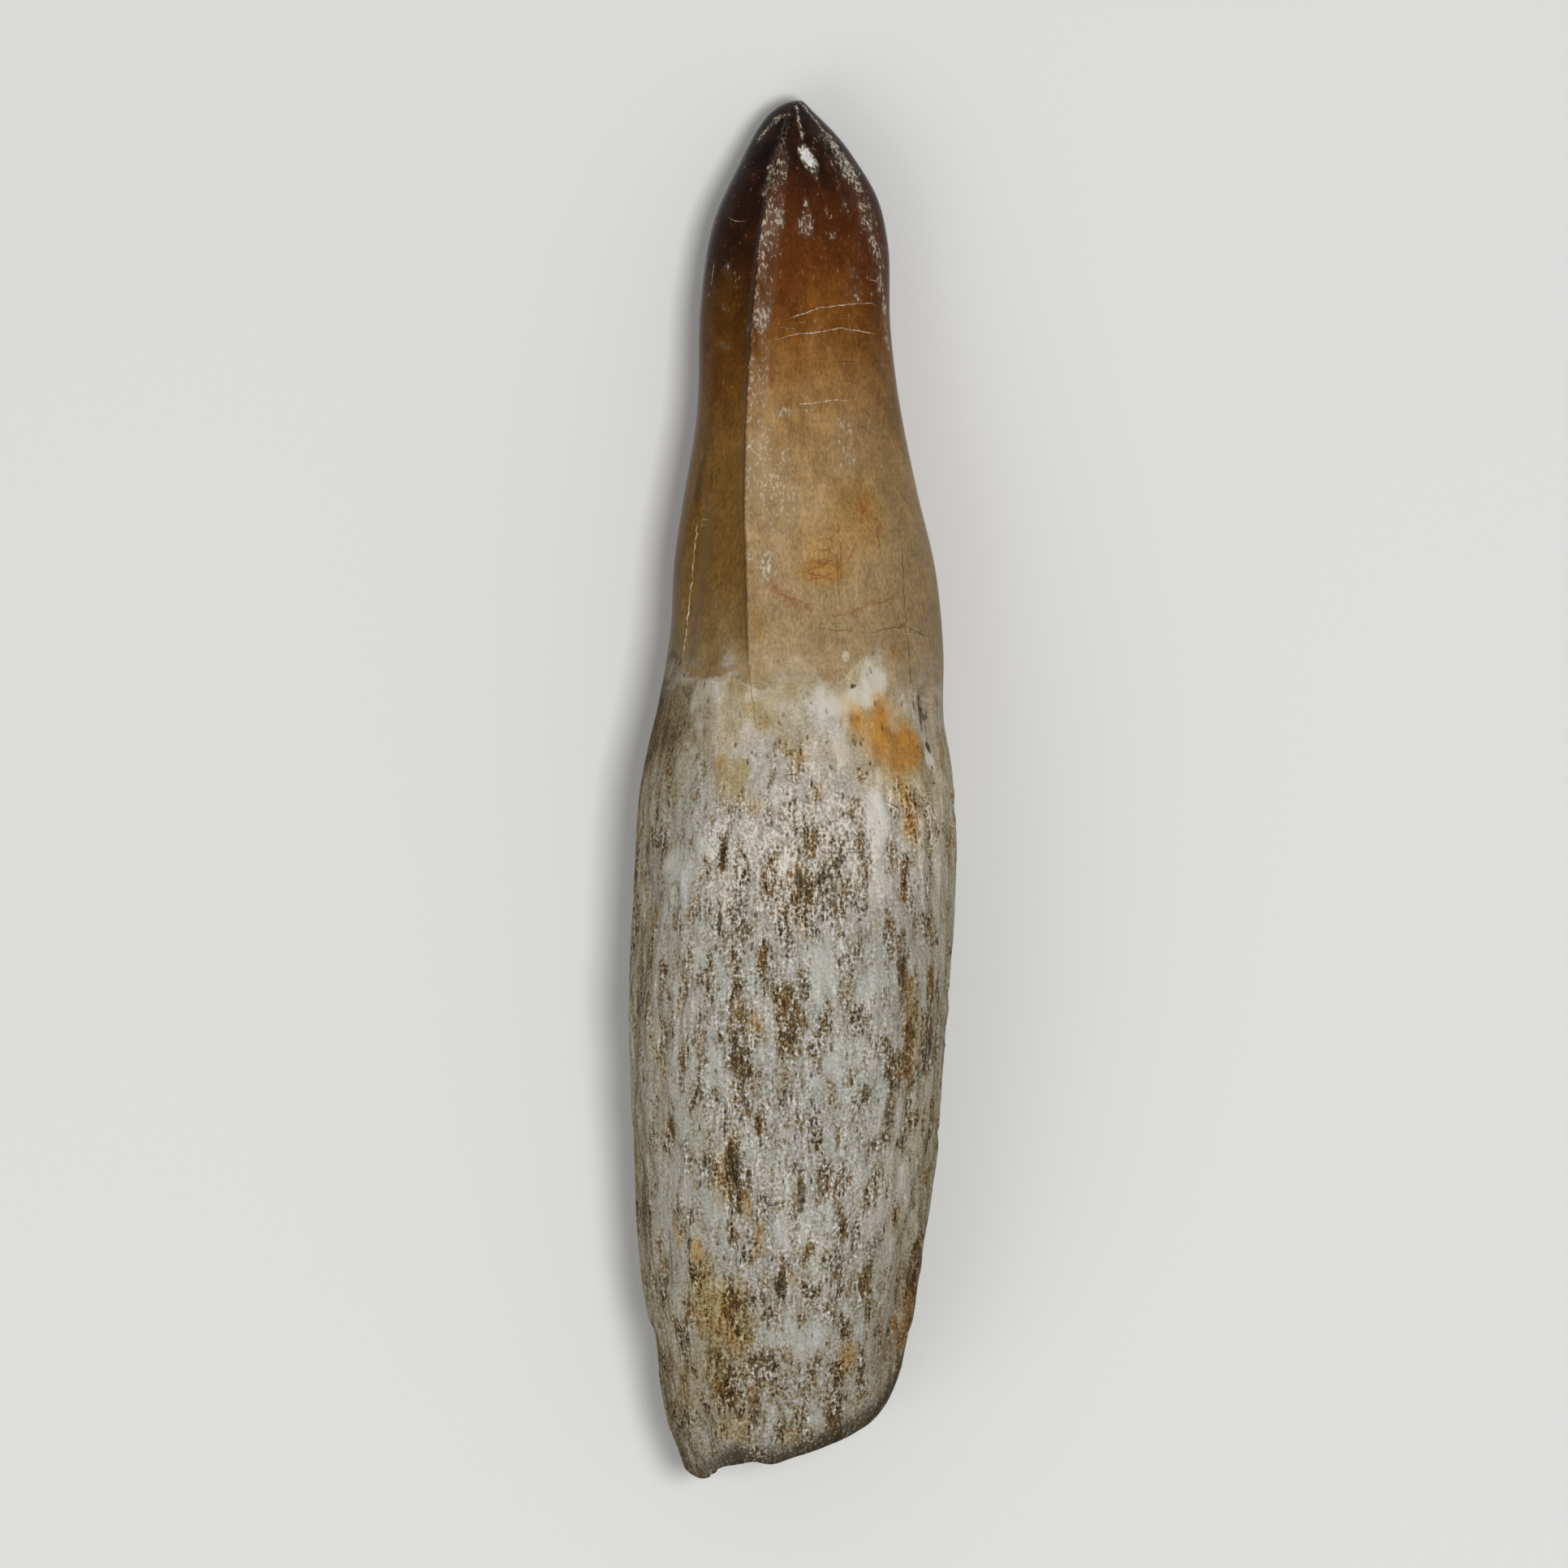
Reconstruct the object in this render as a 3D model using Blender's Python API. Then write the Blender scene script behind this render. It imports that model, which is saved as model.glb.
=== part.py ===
"""A rooted fossil mosasaur tooth, lying on the flatter side of its root.

Run it with: blender --background --python part.py

The tooth lies along Y with its tip towards +Y, and +Z is up. The origin is on the surface that it lies on,
under the middle of the tooth. It is one solid: a keeled crown that widens into a thick root, whose end is
broken off at a slant. The sizes below are in millimetres, and the mesh is made in metres.
"""

import math

import bmesh
import bpy
import numpy as np

MM = 0.001
TIP_Y = 52.5

# The rings run from the tip to the break's rim, and a few more close the broken end.
SEGMENTS = 96
RIM_RING = 44
LAST_RING = 51
TIP_ROUNDING = 7.0

# The outline and the side view. Each pair is a distance back from the tip and a place across or up.
LEFT_EDGE = (
    (0, 0.5), (0.8, -1.5), (4.9, -4.0), (10, -6.1), (16, -6.9), (25, -7.2), (31, -8.2), (35, -8.8),
    (41, -9.2), (46, -10.1), (52, -11.6), (60, -12.2), (71, -12.6), (79, -12.3), (90, -11.6), (96, -10.3),
    (101, -9.3), (104, -8.5), (107, -7.0),
)  # fmt: skip
RIGHT_EDGE = (
    (0, 0.5), (0.8, 1.5), (4.2, 4.5), (8, 6.6), (11, 7.2), (18, 7.4), (23, 8.0), (30, 9.4), (36, 10.8),
    (42, 11.4), (48, 11.5), (52, 12.3), (57, 12.6), (69, 12.3), (80, 10.9), (91, 9.4), (97, 8.6),
    (100, 7.8), (103, 6.2), (107, 4.0),
)  # fmt: skip
TOP_LINE = (
    (0, 3.4), (0.8, 5.0), (4.5, 7.7), (10, 10.0), (16, 11.6), (25, 13.4), (34, 15.4), (42, 17.2),
    (48, 18.3), (54, 19.7), (62, 20.7), (72, 21.0), (82, 20.4), (92, 18.8), (100, 16.7), (107, 14.6),
)  # fmt: skip
UNDERSIDE = (
    (0, 3.4), (0.8, 2.3), (4.5, 1.4), (10, 1.2), (16, 1.4), (25, 1.3), (34, 0.7), (42, 0.0), (50, -0.4),
    (60, -0.55), (74, -0.55), (83, -0.2), (91, 0.8), (98, 2.2), (107, 4.4),
)  # fmt: skip

# Where the two keels run across the tooth, on its upper side and on its underside.
UPPER_KEEL = ((0, 0.5), (5, -1.2), (9, -2.0), (16, -2.8), (24, -3.3), (38, -3.4), (47, -3.0), (60, -1.0),
              (107, 0))  # fmt: skip
LOWER_KEEL = ((0, 0.5), (12, 1.0), (34, 1.2), (60, 0.2), (107, 0))

# How far round its ellipse each side of a section bulges, in degrees: 90 is round, and less leaves a keel.
LEFT_BULGE = ((0, 82), (8, 64), (20, 52), (38, 54), (48, 68), (60, 88), (107, 90))
RIGHT_BULGE = ((0, 84), (8, 74), (20, 69), (38, 72), (48, 80), (60, 90), (107, 90))

# The break at the end of the root. Each pair is a place across and the lower rim's distance from the tip.
BREAK_RIM = (
    (-9.6, 102.4), (-8.2, 104.3), (-6.8, 105.0), (-5.6, 104.2), (-4.2, 103.9), (-2.9, 103.7), (-1.8, 103.9),
    (0, 103.4), (2.4, 102.6), (4.8, 101.5), (6.3, 100.4), (7.3, 99.0), (8.2, 96.9), (9.4, 93.4),
)  # fmt: skip
BREAK_AT = 102.4
BREAK_SLANT = 0.02
BREAK_FOOT_HEIGHT = 4.6
SLANT_FROM = 72.0
BREAK_ROUNDING = (0.50, 2.0)
BREAK_HOLLOW = 0.8
BREAK_ROUGHNESS = 0.6
BREAK_LUMPS = (4.6, 2.8)
BREAK_SEED = 61

# Where the crown's enamel ends, how far its ragged edge wanders in waves of what size, and the length
# over which the root's rough surface sets in behind it.
ENAMEL_END = 44.6
ENAMEL_WANDER = 1.3
ENAMEL_WAVE = 3.5
ENAMEL_SEED = 5
ROUGHNESS_SETS_IN = 8.0

# The keels stand out from just behind the tip, and sink into the tooth at the root.
KEEL_HEIGHT = 0.40
KEEL_HALF_WIDTH_DEGREES = 6.0
KEEL_RISES = (0.5, 4.0)
KEEL_SINKS = (32.0, 50.0)

# The root's swellings and furrows: a height, a width round the tooth, a length along it and a seed.
WAVES = ((0.26, 9.0, 17.0, 11), (0.20, 2.5, 17.0, 21))
# Its hollows and pits: a depth, a width, a length, the share of places that have one, and a seed.
PITS = ((0.26, 3.6, 8.5, 0.26, 31), (0.34, 2.3, 5.6, 0.42, 41))
PIT_FLOOR = 0.18
PIT_RIM = 0.62
GRAIN_RADIUS = 11.0

# Sunken lines on the upper side: points (across, distance from the tip), a depth and a half width.
SLIT = (((10.3, 45.6), (10.6, 49.0), (10.8, 51.5)), 0.85, 0.8)
FLAKE_EDGE = (((-7.0, 31.5), (-7.4, 36.0), (-8.1, 42.0)), 0.38, 0.8)
LAYER_EDGE = (((10.0, 82.6), (9.2, 85.6), (8.6, 90.0), (7.6, 96.0)), 0.60, 1.2)
FACET_EDGE = (((7.4, 26.5), (8.2, 33.0), (8.7, 41.5)), 0.15, 0.9)
CHIPPED_KEEL = (((-3.3, 34.0), (-3.5, 37.5)), 0.30, 0.8)
LINES = (SLIT, FLAKE_EDGE, LAYER_EDGE, FACET_EDGE, CHIPPED_KEEL)

ENAMEL_COLOUR = (0.235, 0.110, 0.035, 1.0)
ENAMEL_ROUGHNESS = 0.32
ROOT_COLOUR = (0.420, 0.385, 0.310, 1.0)
ROOT_ROUGHNESS = 0.78

HALVINGS = 24
LEANING_STEPS = 4

HASH_STEPS = (73856093, 19349663, 83492791)
HASH_MIX = 1274126177
LOW_BITS = 0xFFFFFFFF
CORNERS = tuple((i, j, k) for i in (0, 1) for j in (0, 1) for k in (0, 1))
NEIGHBOURS = tuple((i, j, k) for i in (-1, 0, 1) for j in (-1, 0, 1) for k in (-1, 0, 1))


def curve(at, place, wanted):
    """The place at each wanted value on a smooth curve through the given places."""
    slope = np.gradient(place, at)
    wanted = np.clip(wanted, at[0], at[-1])
    i = np.clip(np.searchsorted(at, wanted, side="right") - 1, 0, len(at) - 2)
    gap = at[i + 1] - at[i]
    t = (wanted - at[i]) / gap
    return (
        place[i] * (1 + 2 * t) * (1 - t) ** 2
        + slope[i] * gap * t * (1 - t) ** 2
        + place[i + 1] * t**2 * (3 - 2 * t)
        + slope[i + 1] * gap * t**2 * (t - 1)
    )


def along(line, distance):
    """A place at each distance from the tip.

    The curve runs in the square root of the distance, so that it closes on the tip as a dome.
    """
    at, place = np.array(line, float).T
    return curve(np.sqrt(at), place, np.sqrt(np.maximum(distance, 0)))


def eased(value, low, high):
    """0 below low, 1 above high, and a smooth step between."""
    t = np.clip((value - low) / (high - low), 0, 1)
    return t * t * (3 - 2 * t)


def scattered(cells, seed):
    """An even spread of numbers from 0 to 1, one for each whole-number cell of space."""
    mixed = cells.astype(np.int64) @ np.array(HASH_STEPS) + seed * HASH_STEPS[0]
    for shift in (15, 13):
        mixed = ((mixed ^ (mixed >> shift)) & LOW_BITS) * HASH_MIX & LOW_BITS
    return (mixed ^ (mixed >> 16)) / LOW_BITS


def wavy(points, wide, long, seed):
    """Smooth noise from -1 to 1, in waves of a width round the tooth and a length along it."""
    scaled = points / (wide, long, wide)
    cell = np.floor(scaled)
    t = scaled - cell
    t = t * t * t * (t * (6 * t - 15) + 10)
    total = np.zeros(len(points))
    for corner in CORNERS:
        share = np.prod(np.where(corner, t, 1 - t), axis=1)
        total += share * scattered(cell + corner, seed)
    return 2 * total - 1


def pitted(points, wide, long, share, seed):
    """1 in the middle of scattered oval pits, falling to 0 at their rims. A share of the cells has one."""
    scaled = points / (wide, long, wide)
    cell = np.floor(scaled)
    deepest = np.zeros(len(points))
    for neighbour in NEIGHBOURS:
        near = cell + neighbour
        middle = near + np.stack([scattered(near, seed + k) for k in (1, 2, 3)], axis=1)
        there = scattered(near, seed) < share
        gap = np.linalg.norm(scaled - middle, axis=1)
        deepest = np.maximum(deepest, there * eased(-gap, -PIT_RIM, -PIT_FLOOR))
    return deepest


def section(distance, angle):
    """The smooth tooth, across and up, at a distance from the tip and an angle round it, and its middle.

    Each side of a section is an arc of an ellipse from the lower keel to the upper one.
    """
    right = np.abs(angle) <= math.pi / 2
    rise = np.where(right, angle, np.sign(angle) * (math.pi - np.abs(angle))) / (math.pi / 2)
    bulge = np.radians(np.where(right, along(RIGHT_BULGE, distance), along(LEFT_BULGE, distance)))
    edge = np.where(right, along(RIGHT_EDGE, distance), along(LEFT_EDGE, distance))
    upper, lower = along(UPPER_KEEL, distance), along(LOWER_KEEL, distance)
    top, bottom = along(TOP_LINE, distance), along(UNDERSIDE, distance)
    keel = (upper + lower) / 2
    out = (np.cos(bulge * rise) - np.cos(bulge)) / (1 - np.cos(bulge))
    across = keel + rise * (upper - lower) / 2 + (edge - keel) * out
    up = (top + bottom) / 2 + (top - bottom) / 2 * np.sin(bulge * rise) / np.sin(bulge)
    return across, up, keel, (top + bottom) / 2


def break_distance(across, up):
    """How far from the tip the break is, at a place across and a height."""
    rim_across, rim_distance = np.array(BREAK_RIM).T
    return curve(rim_across, rim_distance, across) - BREAK_SLANT * (up - BREAK_FOOT_HEIGHT)


def smooth_tooth(distance, angle):
    """The smooth tooth's points, and the middle of each point's section.

    The rings lean over gradually until the last one lies along the break's rim.
    """
    lean = eased(distance, SLANT_FROM, BREAK_AT)
    own = distance
    for _ in range(LEANING_STEPS):
        across, up, middle_across, middle_up = section(own, angle)
        own = distance + lean * (break_distance(across, up) - BREAK_AT)
    points = np.stack([across, TIP_Y - own, up], axis=1)
    return points, np.stack([middle_across, TIP_Y - own, middle_up], axis=1)


def seen_from_above(across, distance):
    """The point of the upper side that lies at a place across and a distance from the tip."""
    low, high = np.zeros(len(across)), np.full(len(across), math.pi)
    for _ in range(HALVINGS):
        angle = (low + high) / 2
        too_far_right = section(distance, angle)[0] > across
        low, high = np.where(too_far_right, angle, low), np.where(too_far_right, high, angle)
    return np.stack([across, TIP_Y - distance, section(distance, low)[1]], axis=1)


def line_depth(points, path, depth, half_width):
    """How deep a line that is cut into the upper side along a path is at each point."""
    corners = seen_from_above(*np.array(path, float).T)
    nearest = np.full(len(points), np.inf)
    for start, step in zip(corners[:-1], np.diff(corners, axis=0)):
        share = np.clip((points - start) @ step / (step @ step), 0, 1)
        nearest = np.minimum(nearest, np.linalg.norm(points - start - share[:, None] * step, axis=1))
    return depth * eased(-nearest, -2 * half_width, 0)


def relief(points, distance, angle):
    """How far the surface stands out from the smooth tooth at each point."""
    grain = np.stack([GRAIN_RADIUS * np.cos(angle), distance, GRAIN_RADIUS * np.sin(angle)], axis=1)
    enamel_end = ENAMEL_END + ENAMEL_WANDER * wavy(points, ENAMEL_WAVE, ENAMEL_WAVE, ENAMEL_SEED)
    root = eased(distance, enamel_end, enamel_end + ROUGHNESS_SETS_IN)
    keel = eased(distance, *KEEL_RISES) * (1 - eased(distance, *KEEL_SINKS))
    from_keel = np.abs(90 - np.degrees(np.abs(angle)))
    out = KEEL_HEIGHT * keel * eased(-from_keel, -KEEL_HALF_WIDTH_DEGREES, 0)
    for height, wide, long, seed in WAVES:
        out += height * root * wavy(grain, wide, long, seed)
    for depth, wide, long, share, seed in PITS:
        out -= depth * root * pitted(grain, wide, long, share, seed)
    for path, depth, half_width in LINES:
        out -= line_depth(points, path, depth, half_width)
    rounding, reach = BREAK_ROUNDING
    return out - rounding * eased(distance, BREAK_AT - reach, BREAK_AT)


def broken_end(points, inward):
    """How far the broken face stands in towards the tip. Inward is 0 at the rim and 1 at the middle."""
    coarse, fine = (wavy(points, size, size, BREAK_SEED) for size in BREAK_LUMPS)
    rough = BREAK_ROUGHNESS * (1 + coarse + 0.6 * fine) * eased(inward, 0, 0.3)
    return BREAK_HOLLOW * eased(inward, 0, 1) + rough


def tooth_places(ring, angle):
    """The tooth's points in millimetres, on rings from 0 at the tip to the last at the break's middle."""
    reach = math.sqrt((BREAK_AT + TIP_ROUNDING) ** 2 - TIP_ROUNDING**2)
    distance = np.hypot(reach * np.minimum(ring / RIM_RING, 1), TIP_ROUNDING) - TIP_ROUNDING
    points, middles = smooth_tooth(distance, angle)
    outward = points - middles
    outward /= np.maximum(np.linalg.norm(outward, axis=1, keepdims=True), 0.01)
    planned = break_distance(points[:, 0], points[:, 2])
    points += outward * relief(points, distance, angle)[:, None]
    # Where the relief moves the rim across, it slides along too and stays on the break.
    gap = break_distance(points[:, 0], points[:, 2]) - planned
    points[:, 1] -= gap * eased(distance, BREAK_AT - BREAK_ROUNDING[1], BREAK_AT)
    points[:, 2] = np.maximum(points[:, 2], 0)

    inward = np.clip((ring - RIM_RING) / (LAST_RING - RIM_RING), 0, 1)
    centre = points[ring == RIM_RING].mean(axis=0)
    points += (centre - points) * inward[:, None]
    face = TIP_Y - break_distance(points[:, 0], points[:, 2]) + broken_end(points, inward)
    points[:, 1] = np.where(ring > RIM_RING, face, points[:, 1])
    return points


def on_ball(x, y, z):
    """Where a place on the ball is, in rings down from its top and as an angle round it."""
    radius = np.sqrt(x * x + y * y + z * z)
    return np.arccos(np.clip(z / radius, -1, 1)) / math.pi * LAST_RING, np.arctan2(-y, x)


def split_both_ways(ball):
    """Split neighbouring squares along opposite diagonals, so that no slant shows in the surface."""
    squares = ([], [])
    for face in ball.faces:
        if len(face.verts) == 4:
            ring, angle = on_ball(*face.calc_center_median())
            place = math.floor(ring) + math.floor((angle / math.tau + 1) * SEGMENTS)
            squares[place % 2].append(face)
    bmesh.ops.triangulate(ball, faces=squares[0], quad_method="FIXED")
    bmesh.ops.triangulate(ball, faces=squares[1], quad_method="ALTERNATE")


def make_tooth():
    """A ball with a ring for each section, its top pole at the tip, moved into the tooth's shape."""
    mesh = bpy.data.meshes.new("tooth")
    ball = bmesh.new()
    bmesh.ops.create_uvsphere(ball, u_segments=SEGMENTS, v_segments=LAST_RING, radius=1)
    split_both_ways(ball)
    ball.to_mesh(mesh)
    ball.free()
    places = np.empty(len(mesh.vertices) * 3, np.float32)
    mesh.vertices.foreach_get("co", places)
    ring, angle = on_ball(*places.reshape(-1, 3).astype(float).T)
    shaped = tooth_places(np.round(ring), angle) * MM
    mesh.vertices.foreach_set("co", shaped.astype(np.float32).ravel())
    mesh.update()
    return mesh


def material(name, colour, roughness):
    made = bpy.data.materials.new(name)
    made.use_nodes = True
    shader = made.node_tree.nodes["Principled BSDF"]
    shader.inputs["Base Color"].default_value = colour
    shader.inputs["Roughness"].default_value = roughness
    shader.inputs["Metallic"].default_value = 0.0
    return made


def main():
    for old in list(bpy.data.objects):
        bpy.data.objects.remove(old)
    collection = bpy.data.collections.new("fossil_tooth")
    bpy.context.scene.collection.children.link(collection)
    mesh = make_tooth()
    tooth = bpy.data.objects.new("tooth", mesh)
    collection.objects.link(tooth)
    mesh.materials.append(material("enamel", ENAMEL_COLOUR, ENAMEL_ROUGHNESS))
    mesh.materials.append(material("root_bone", ROOT_COLOUR, ROOT_ROUGHNESS))
    for face in mesh.polygons:
        face.material_index = int(TIP_Y - face.center.y / MM > ENAMEL_END)
    mesh.shade_smooth()


main()
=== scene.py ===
"""The looks of a rooted fossil mosasaur tooth: a glossy keeled crown on a pale, fibrous, broken root.

The tooth lies along Y with its tip towards +Y, on a floor at z = 0. Its shape is worked out in millimetres,
as the solid's is, on a finer grid and with finer relief, and the mesh is made in metres. Marks that the
upper side shows are placed one by one, by a place across the tooth and a distance from its tip.
"""

import math

import bpy
import numpy as np
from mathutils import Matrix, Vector


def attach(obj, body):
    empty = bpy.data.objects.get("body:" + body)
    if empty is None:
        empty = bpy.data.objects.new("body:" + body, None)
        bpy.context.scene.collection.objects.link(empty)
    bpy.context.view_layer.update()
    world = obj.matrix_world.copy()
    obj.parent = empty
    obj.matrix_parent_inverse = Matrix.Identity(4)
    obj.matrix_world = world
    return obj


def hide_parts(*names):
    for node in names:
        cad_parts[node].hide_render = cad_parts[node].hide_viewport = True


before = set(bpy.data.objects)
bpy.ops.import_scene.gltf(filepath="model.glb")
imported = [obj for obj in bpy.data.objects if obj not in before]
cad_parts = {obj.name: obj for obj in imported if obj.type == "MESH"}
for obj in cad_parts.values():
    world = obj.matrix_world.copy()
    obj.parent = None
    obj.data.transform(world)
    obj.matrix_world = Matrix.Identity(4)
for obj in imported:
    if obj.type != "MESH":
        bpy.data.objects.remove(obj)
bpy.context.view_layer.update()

MM = 0.001
TIP_Y = 52.5

# The surface's grid. The rings run from the tip to the break's rim, and on to the middle of the break.
SEGMENTS = 320
RIM_RING = 262
LAST_RING = 296
TIP_ROUNDING = 7.0

# The outline and the side view. Each pair is a distance back from the tip and a place across or up.
LEFT_EDGE = (
    (0, 0.5), (0.8, -1.5), (4.9, -4.0), (10, -6.1), (16, -6.9), (25, -7.2), (31, -8.2), (35, -8.8),
    (41, -9.2), (46, -10.1), (52, -11.6), (60, -12.2), (71, -12.6), (79, -12.3), (90, -11.6), (96, -10.3),
    (101, -9.3), (104, -8.5), (107, -7.0),
)
RIGHT_EDGE = (
    (0, 0.5), (0.8, 1.5), (4.2, 4.5), (8, 6.6), (11, 7.2), (18, 7.4), (23, 8.0), (30, 9.4), (36, 10.8),
    (42, 11.4), (48, 11.5), (52, 12.3), (57, 12.6), (69, 12.3), (80, 10.9), (91, 9.4), (97, 8.6),
    (100, 7.8), (103, 6.2), (107, 4.0),
)
TOP_LINE = (
    (0, 3.4), (0.8, 5.0), (4.5, 7.7), (10, 10.0), (16, 11.6), (25, 13.4), (34, 15.4), (42, 17.2),
    (48, 18.3), (54, 19.7), (62, 20.7), (72, 21.0), (82, 20.4), (92, 18.8), (100, 16.7), (107, 14.6),
)
UNDERSIDE = (
    (0, 3.4), (0.8, 2.3), (4.5, 1.4), (10, 1.2), (16, 1.4), (25, 1.3), (34, 0.7), (42, 0.0), (50, -0.4),
    (60, -0.55), (74, -0.55), (83, -0.2), (91, 0.8), (98, 2.2), (107, 4.4),
)

# Where the two keels run across the tooth, on its upper side and on its underside.
UPPER_KEEL = ((0, 0.5), (5, -1.2), (9, -2.0), (16, -2.8), (24, -3.3), (38, -3.4), (47, -3.0), (60, -1.0),
              (107, 0))
LOWER_KEEL = ((0, 0.5), (12, 1.0), (34, 1.2), (60, 0.2), (107, 0))

# How far round its ellipse each side of a section bulges, in degrees: 90 is round, and less leaves a keel.
LEFT_BULGE = ((0, 82), (8, 64), (20, 52), (38, 54), (48, 68), (60, 88), (107, 90))
RIGHT_BULGE = ((0, 84), (8, 74), (20, 69), (38, 72), (48, 80), (60, 90), (107, 90))

# The break at the end of the root. Each pair is a place across and the lower rim's distance from the tip.
BREAK_RIM = (
    (-9.6, 102.4), (-8.2, 104.3), (-6.8, 105.0), (-5.6, 104.2), (-4.2, 103.9), (-2.9, 103.7), (-1.8, 103.9),
    (0, 103.4), (2.4, 102.6), (4.8, 101.5), (6.3, 100.4), (7.3, 99.0), (8.2, 96.9), (9.4, 93.4),
)
BREAK_AT = 102.4
BREAK_SLANT = 0.02
BREAK_FOOT_HEIGHT = 4.6
SLANT_FROM = 72.0
BREAK_ROUNDING = (0.50, 2.0)
BREAK_HOLLOW = 0.8
BREAK_ROUGHNESS = 0.6
BREAK_SETS_IN = 0.3
BREAK_LUMPS = (4.6, 2.8)
SMALLER_LUMPS = 0.6
BREAK_SEED = 61
# The finer lumps and grains of the broken face: a height, a size and a seed.
BREAK_GRAINS = ((0.30, 1.5, 62), (0.16, 0.8, 63), (0.08, 0.45, 64))

# Where the crown's enamel ends, how far its ragged edge wanders in waves of what size, and the length
# over which the root's rough surface sets in behind it.
ENAMEL_END = 44.6
ENAMEL_WANDER = 1.3
ENAMEL_WAVE = 3.5
ENAMEL_SEED = 5
ROUGHNESS_SETS_IN = 8.0
# The enamel's edge on the upper side, as places across and distances from the tip.
ENAMEL_EDGE = (
    (-11.0, 42.4), (-9.5, 42.7), (-7.7, 43.8), (-6.4, 44.5), (-4.5, 44.1), (-2.9, 44.4), (2.3, 44.6),
    (4.3, 44.4), (5.6, 42.3), (6.9, 43.2), (7.4, 45.1), (8.7, 45.4), (9.6, 45.0), (11.2, 44.4),
)

# The keels stand out from just behind the tip, and sink into the tooth at the root.
KEEL_HEIGHT = 0.40
KEEL_HALF_WIDTH_DEGREES = 6.0
KEEL_RISES = (0.5, 4.0)
KEEL_SINKS = (32.0, 50.0)
# Wear has left beads along each keel's right side: their height, size and seed, and the band's middle and
# half width.
KEEL_BEADS = (0.10, 0.55, 75)
BEAD_BAND = (0.45, 0.75)
BEADS_RISE = (2, 6)
BEADS_SINK = (30, 37)

# The root's swellings and furrows: a height, a width round the tooth, a length along it and a seed.
WAVES = ((0.26, 9.0, 17.0, 11), (0.20, 2.5, 17.0, 21))
# Its hollows and pits: a depth, a width, a length, the share of places that have one, and a seed.
PITS = ((0.26, 3.6, 8.5, 0.26, 31), (0.34, 2.3, 5.6, 0.42, 41))
PIT_FLOOR = 0.18
PIT_RIM = 0.62
GRAIN_RADIUS = 11.0
# The finer fibres and pores, which only cut in: depths, widths, lengths, for the pores a share, and seeds.
FIBRES = ((0.10, 0.9, 7.0, 81), (0.07, 0.5, 4.0, 82))
PORES = ((0.24, 1.1, 2.6, 0.45, 91), (0.17, 0.7, 1.7, 0.50, 95))
# The pale collar between the enamel and the fibrous root is smoother than the rest. The fibres start nearer
# to the enamel in the middle of the upper side: that notch's place across, its half width and its height.
COLLAR = (46.0, 56.0)
COLLAR_NOTCH = (1.5, 5.0, 2.8)

# Sunken lines on the upper side: points, each as a place across and a distance from the tip, a depth and a
# half width. They are a slit, a flake's edge, a layer's edge, a facet's edge and a chip on the keel.
SUNKEN_LINES = (
    ((10.3, 45.6, 10.6, 49, 10.8, 51.5), 0.85, 0.8),
    ((-7, 31.5, -7.4, 36, -8.1, 42), 0.38, 0.8),
    ((10, 82.6, 9.2, 85.6, 8.6, 90, 7.6, 96), 0.6, 1.2),
    ((7.4, 26.5, 8.2, 33, 8.7, 41.5), 0.15, 0.9),
    ((-3.3, 34, -3.5, 37.5), 0.3, 0.8),
)

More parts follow.
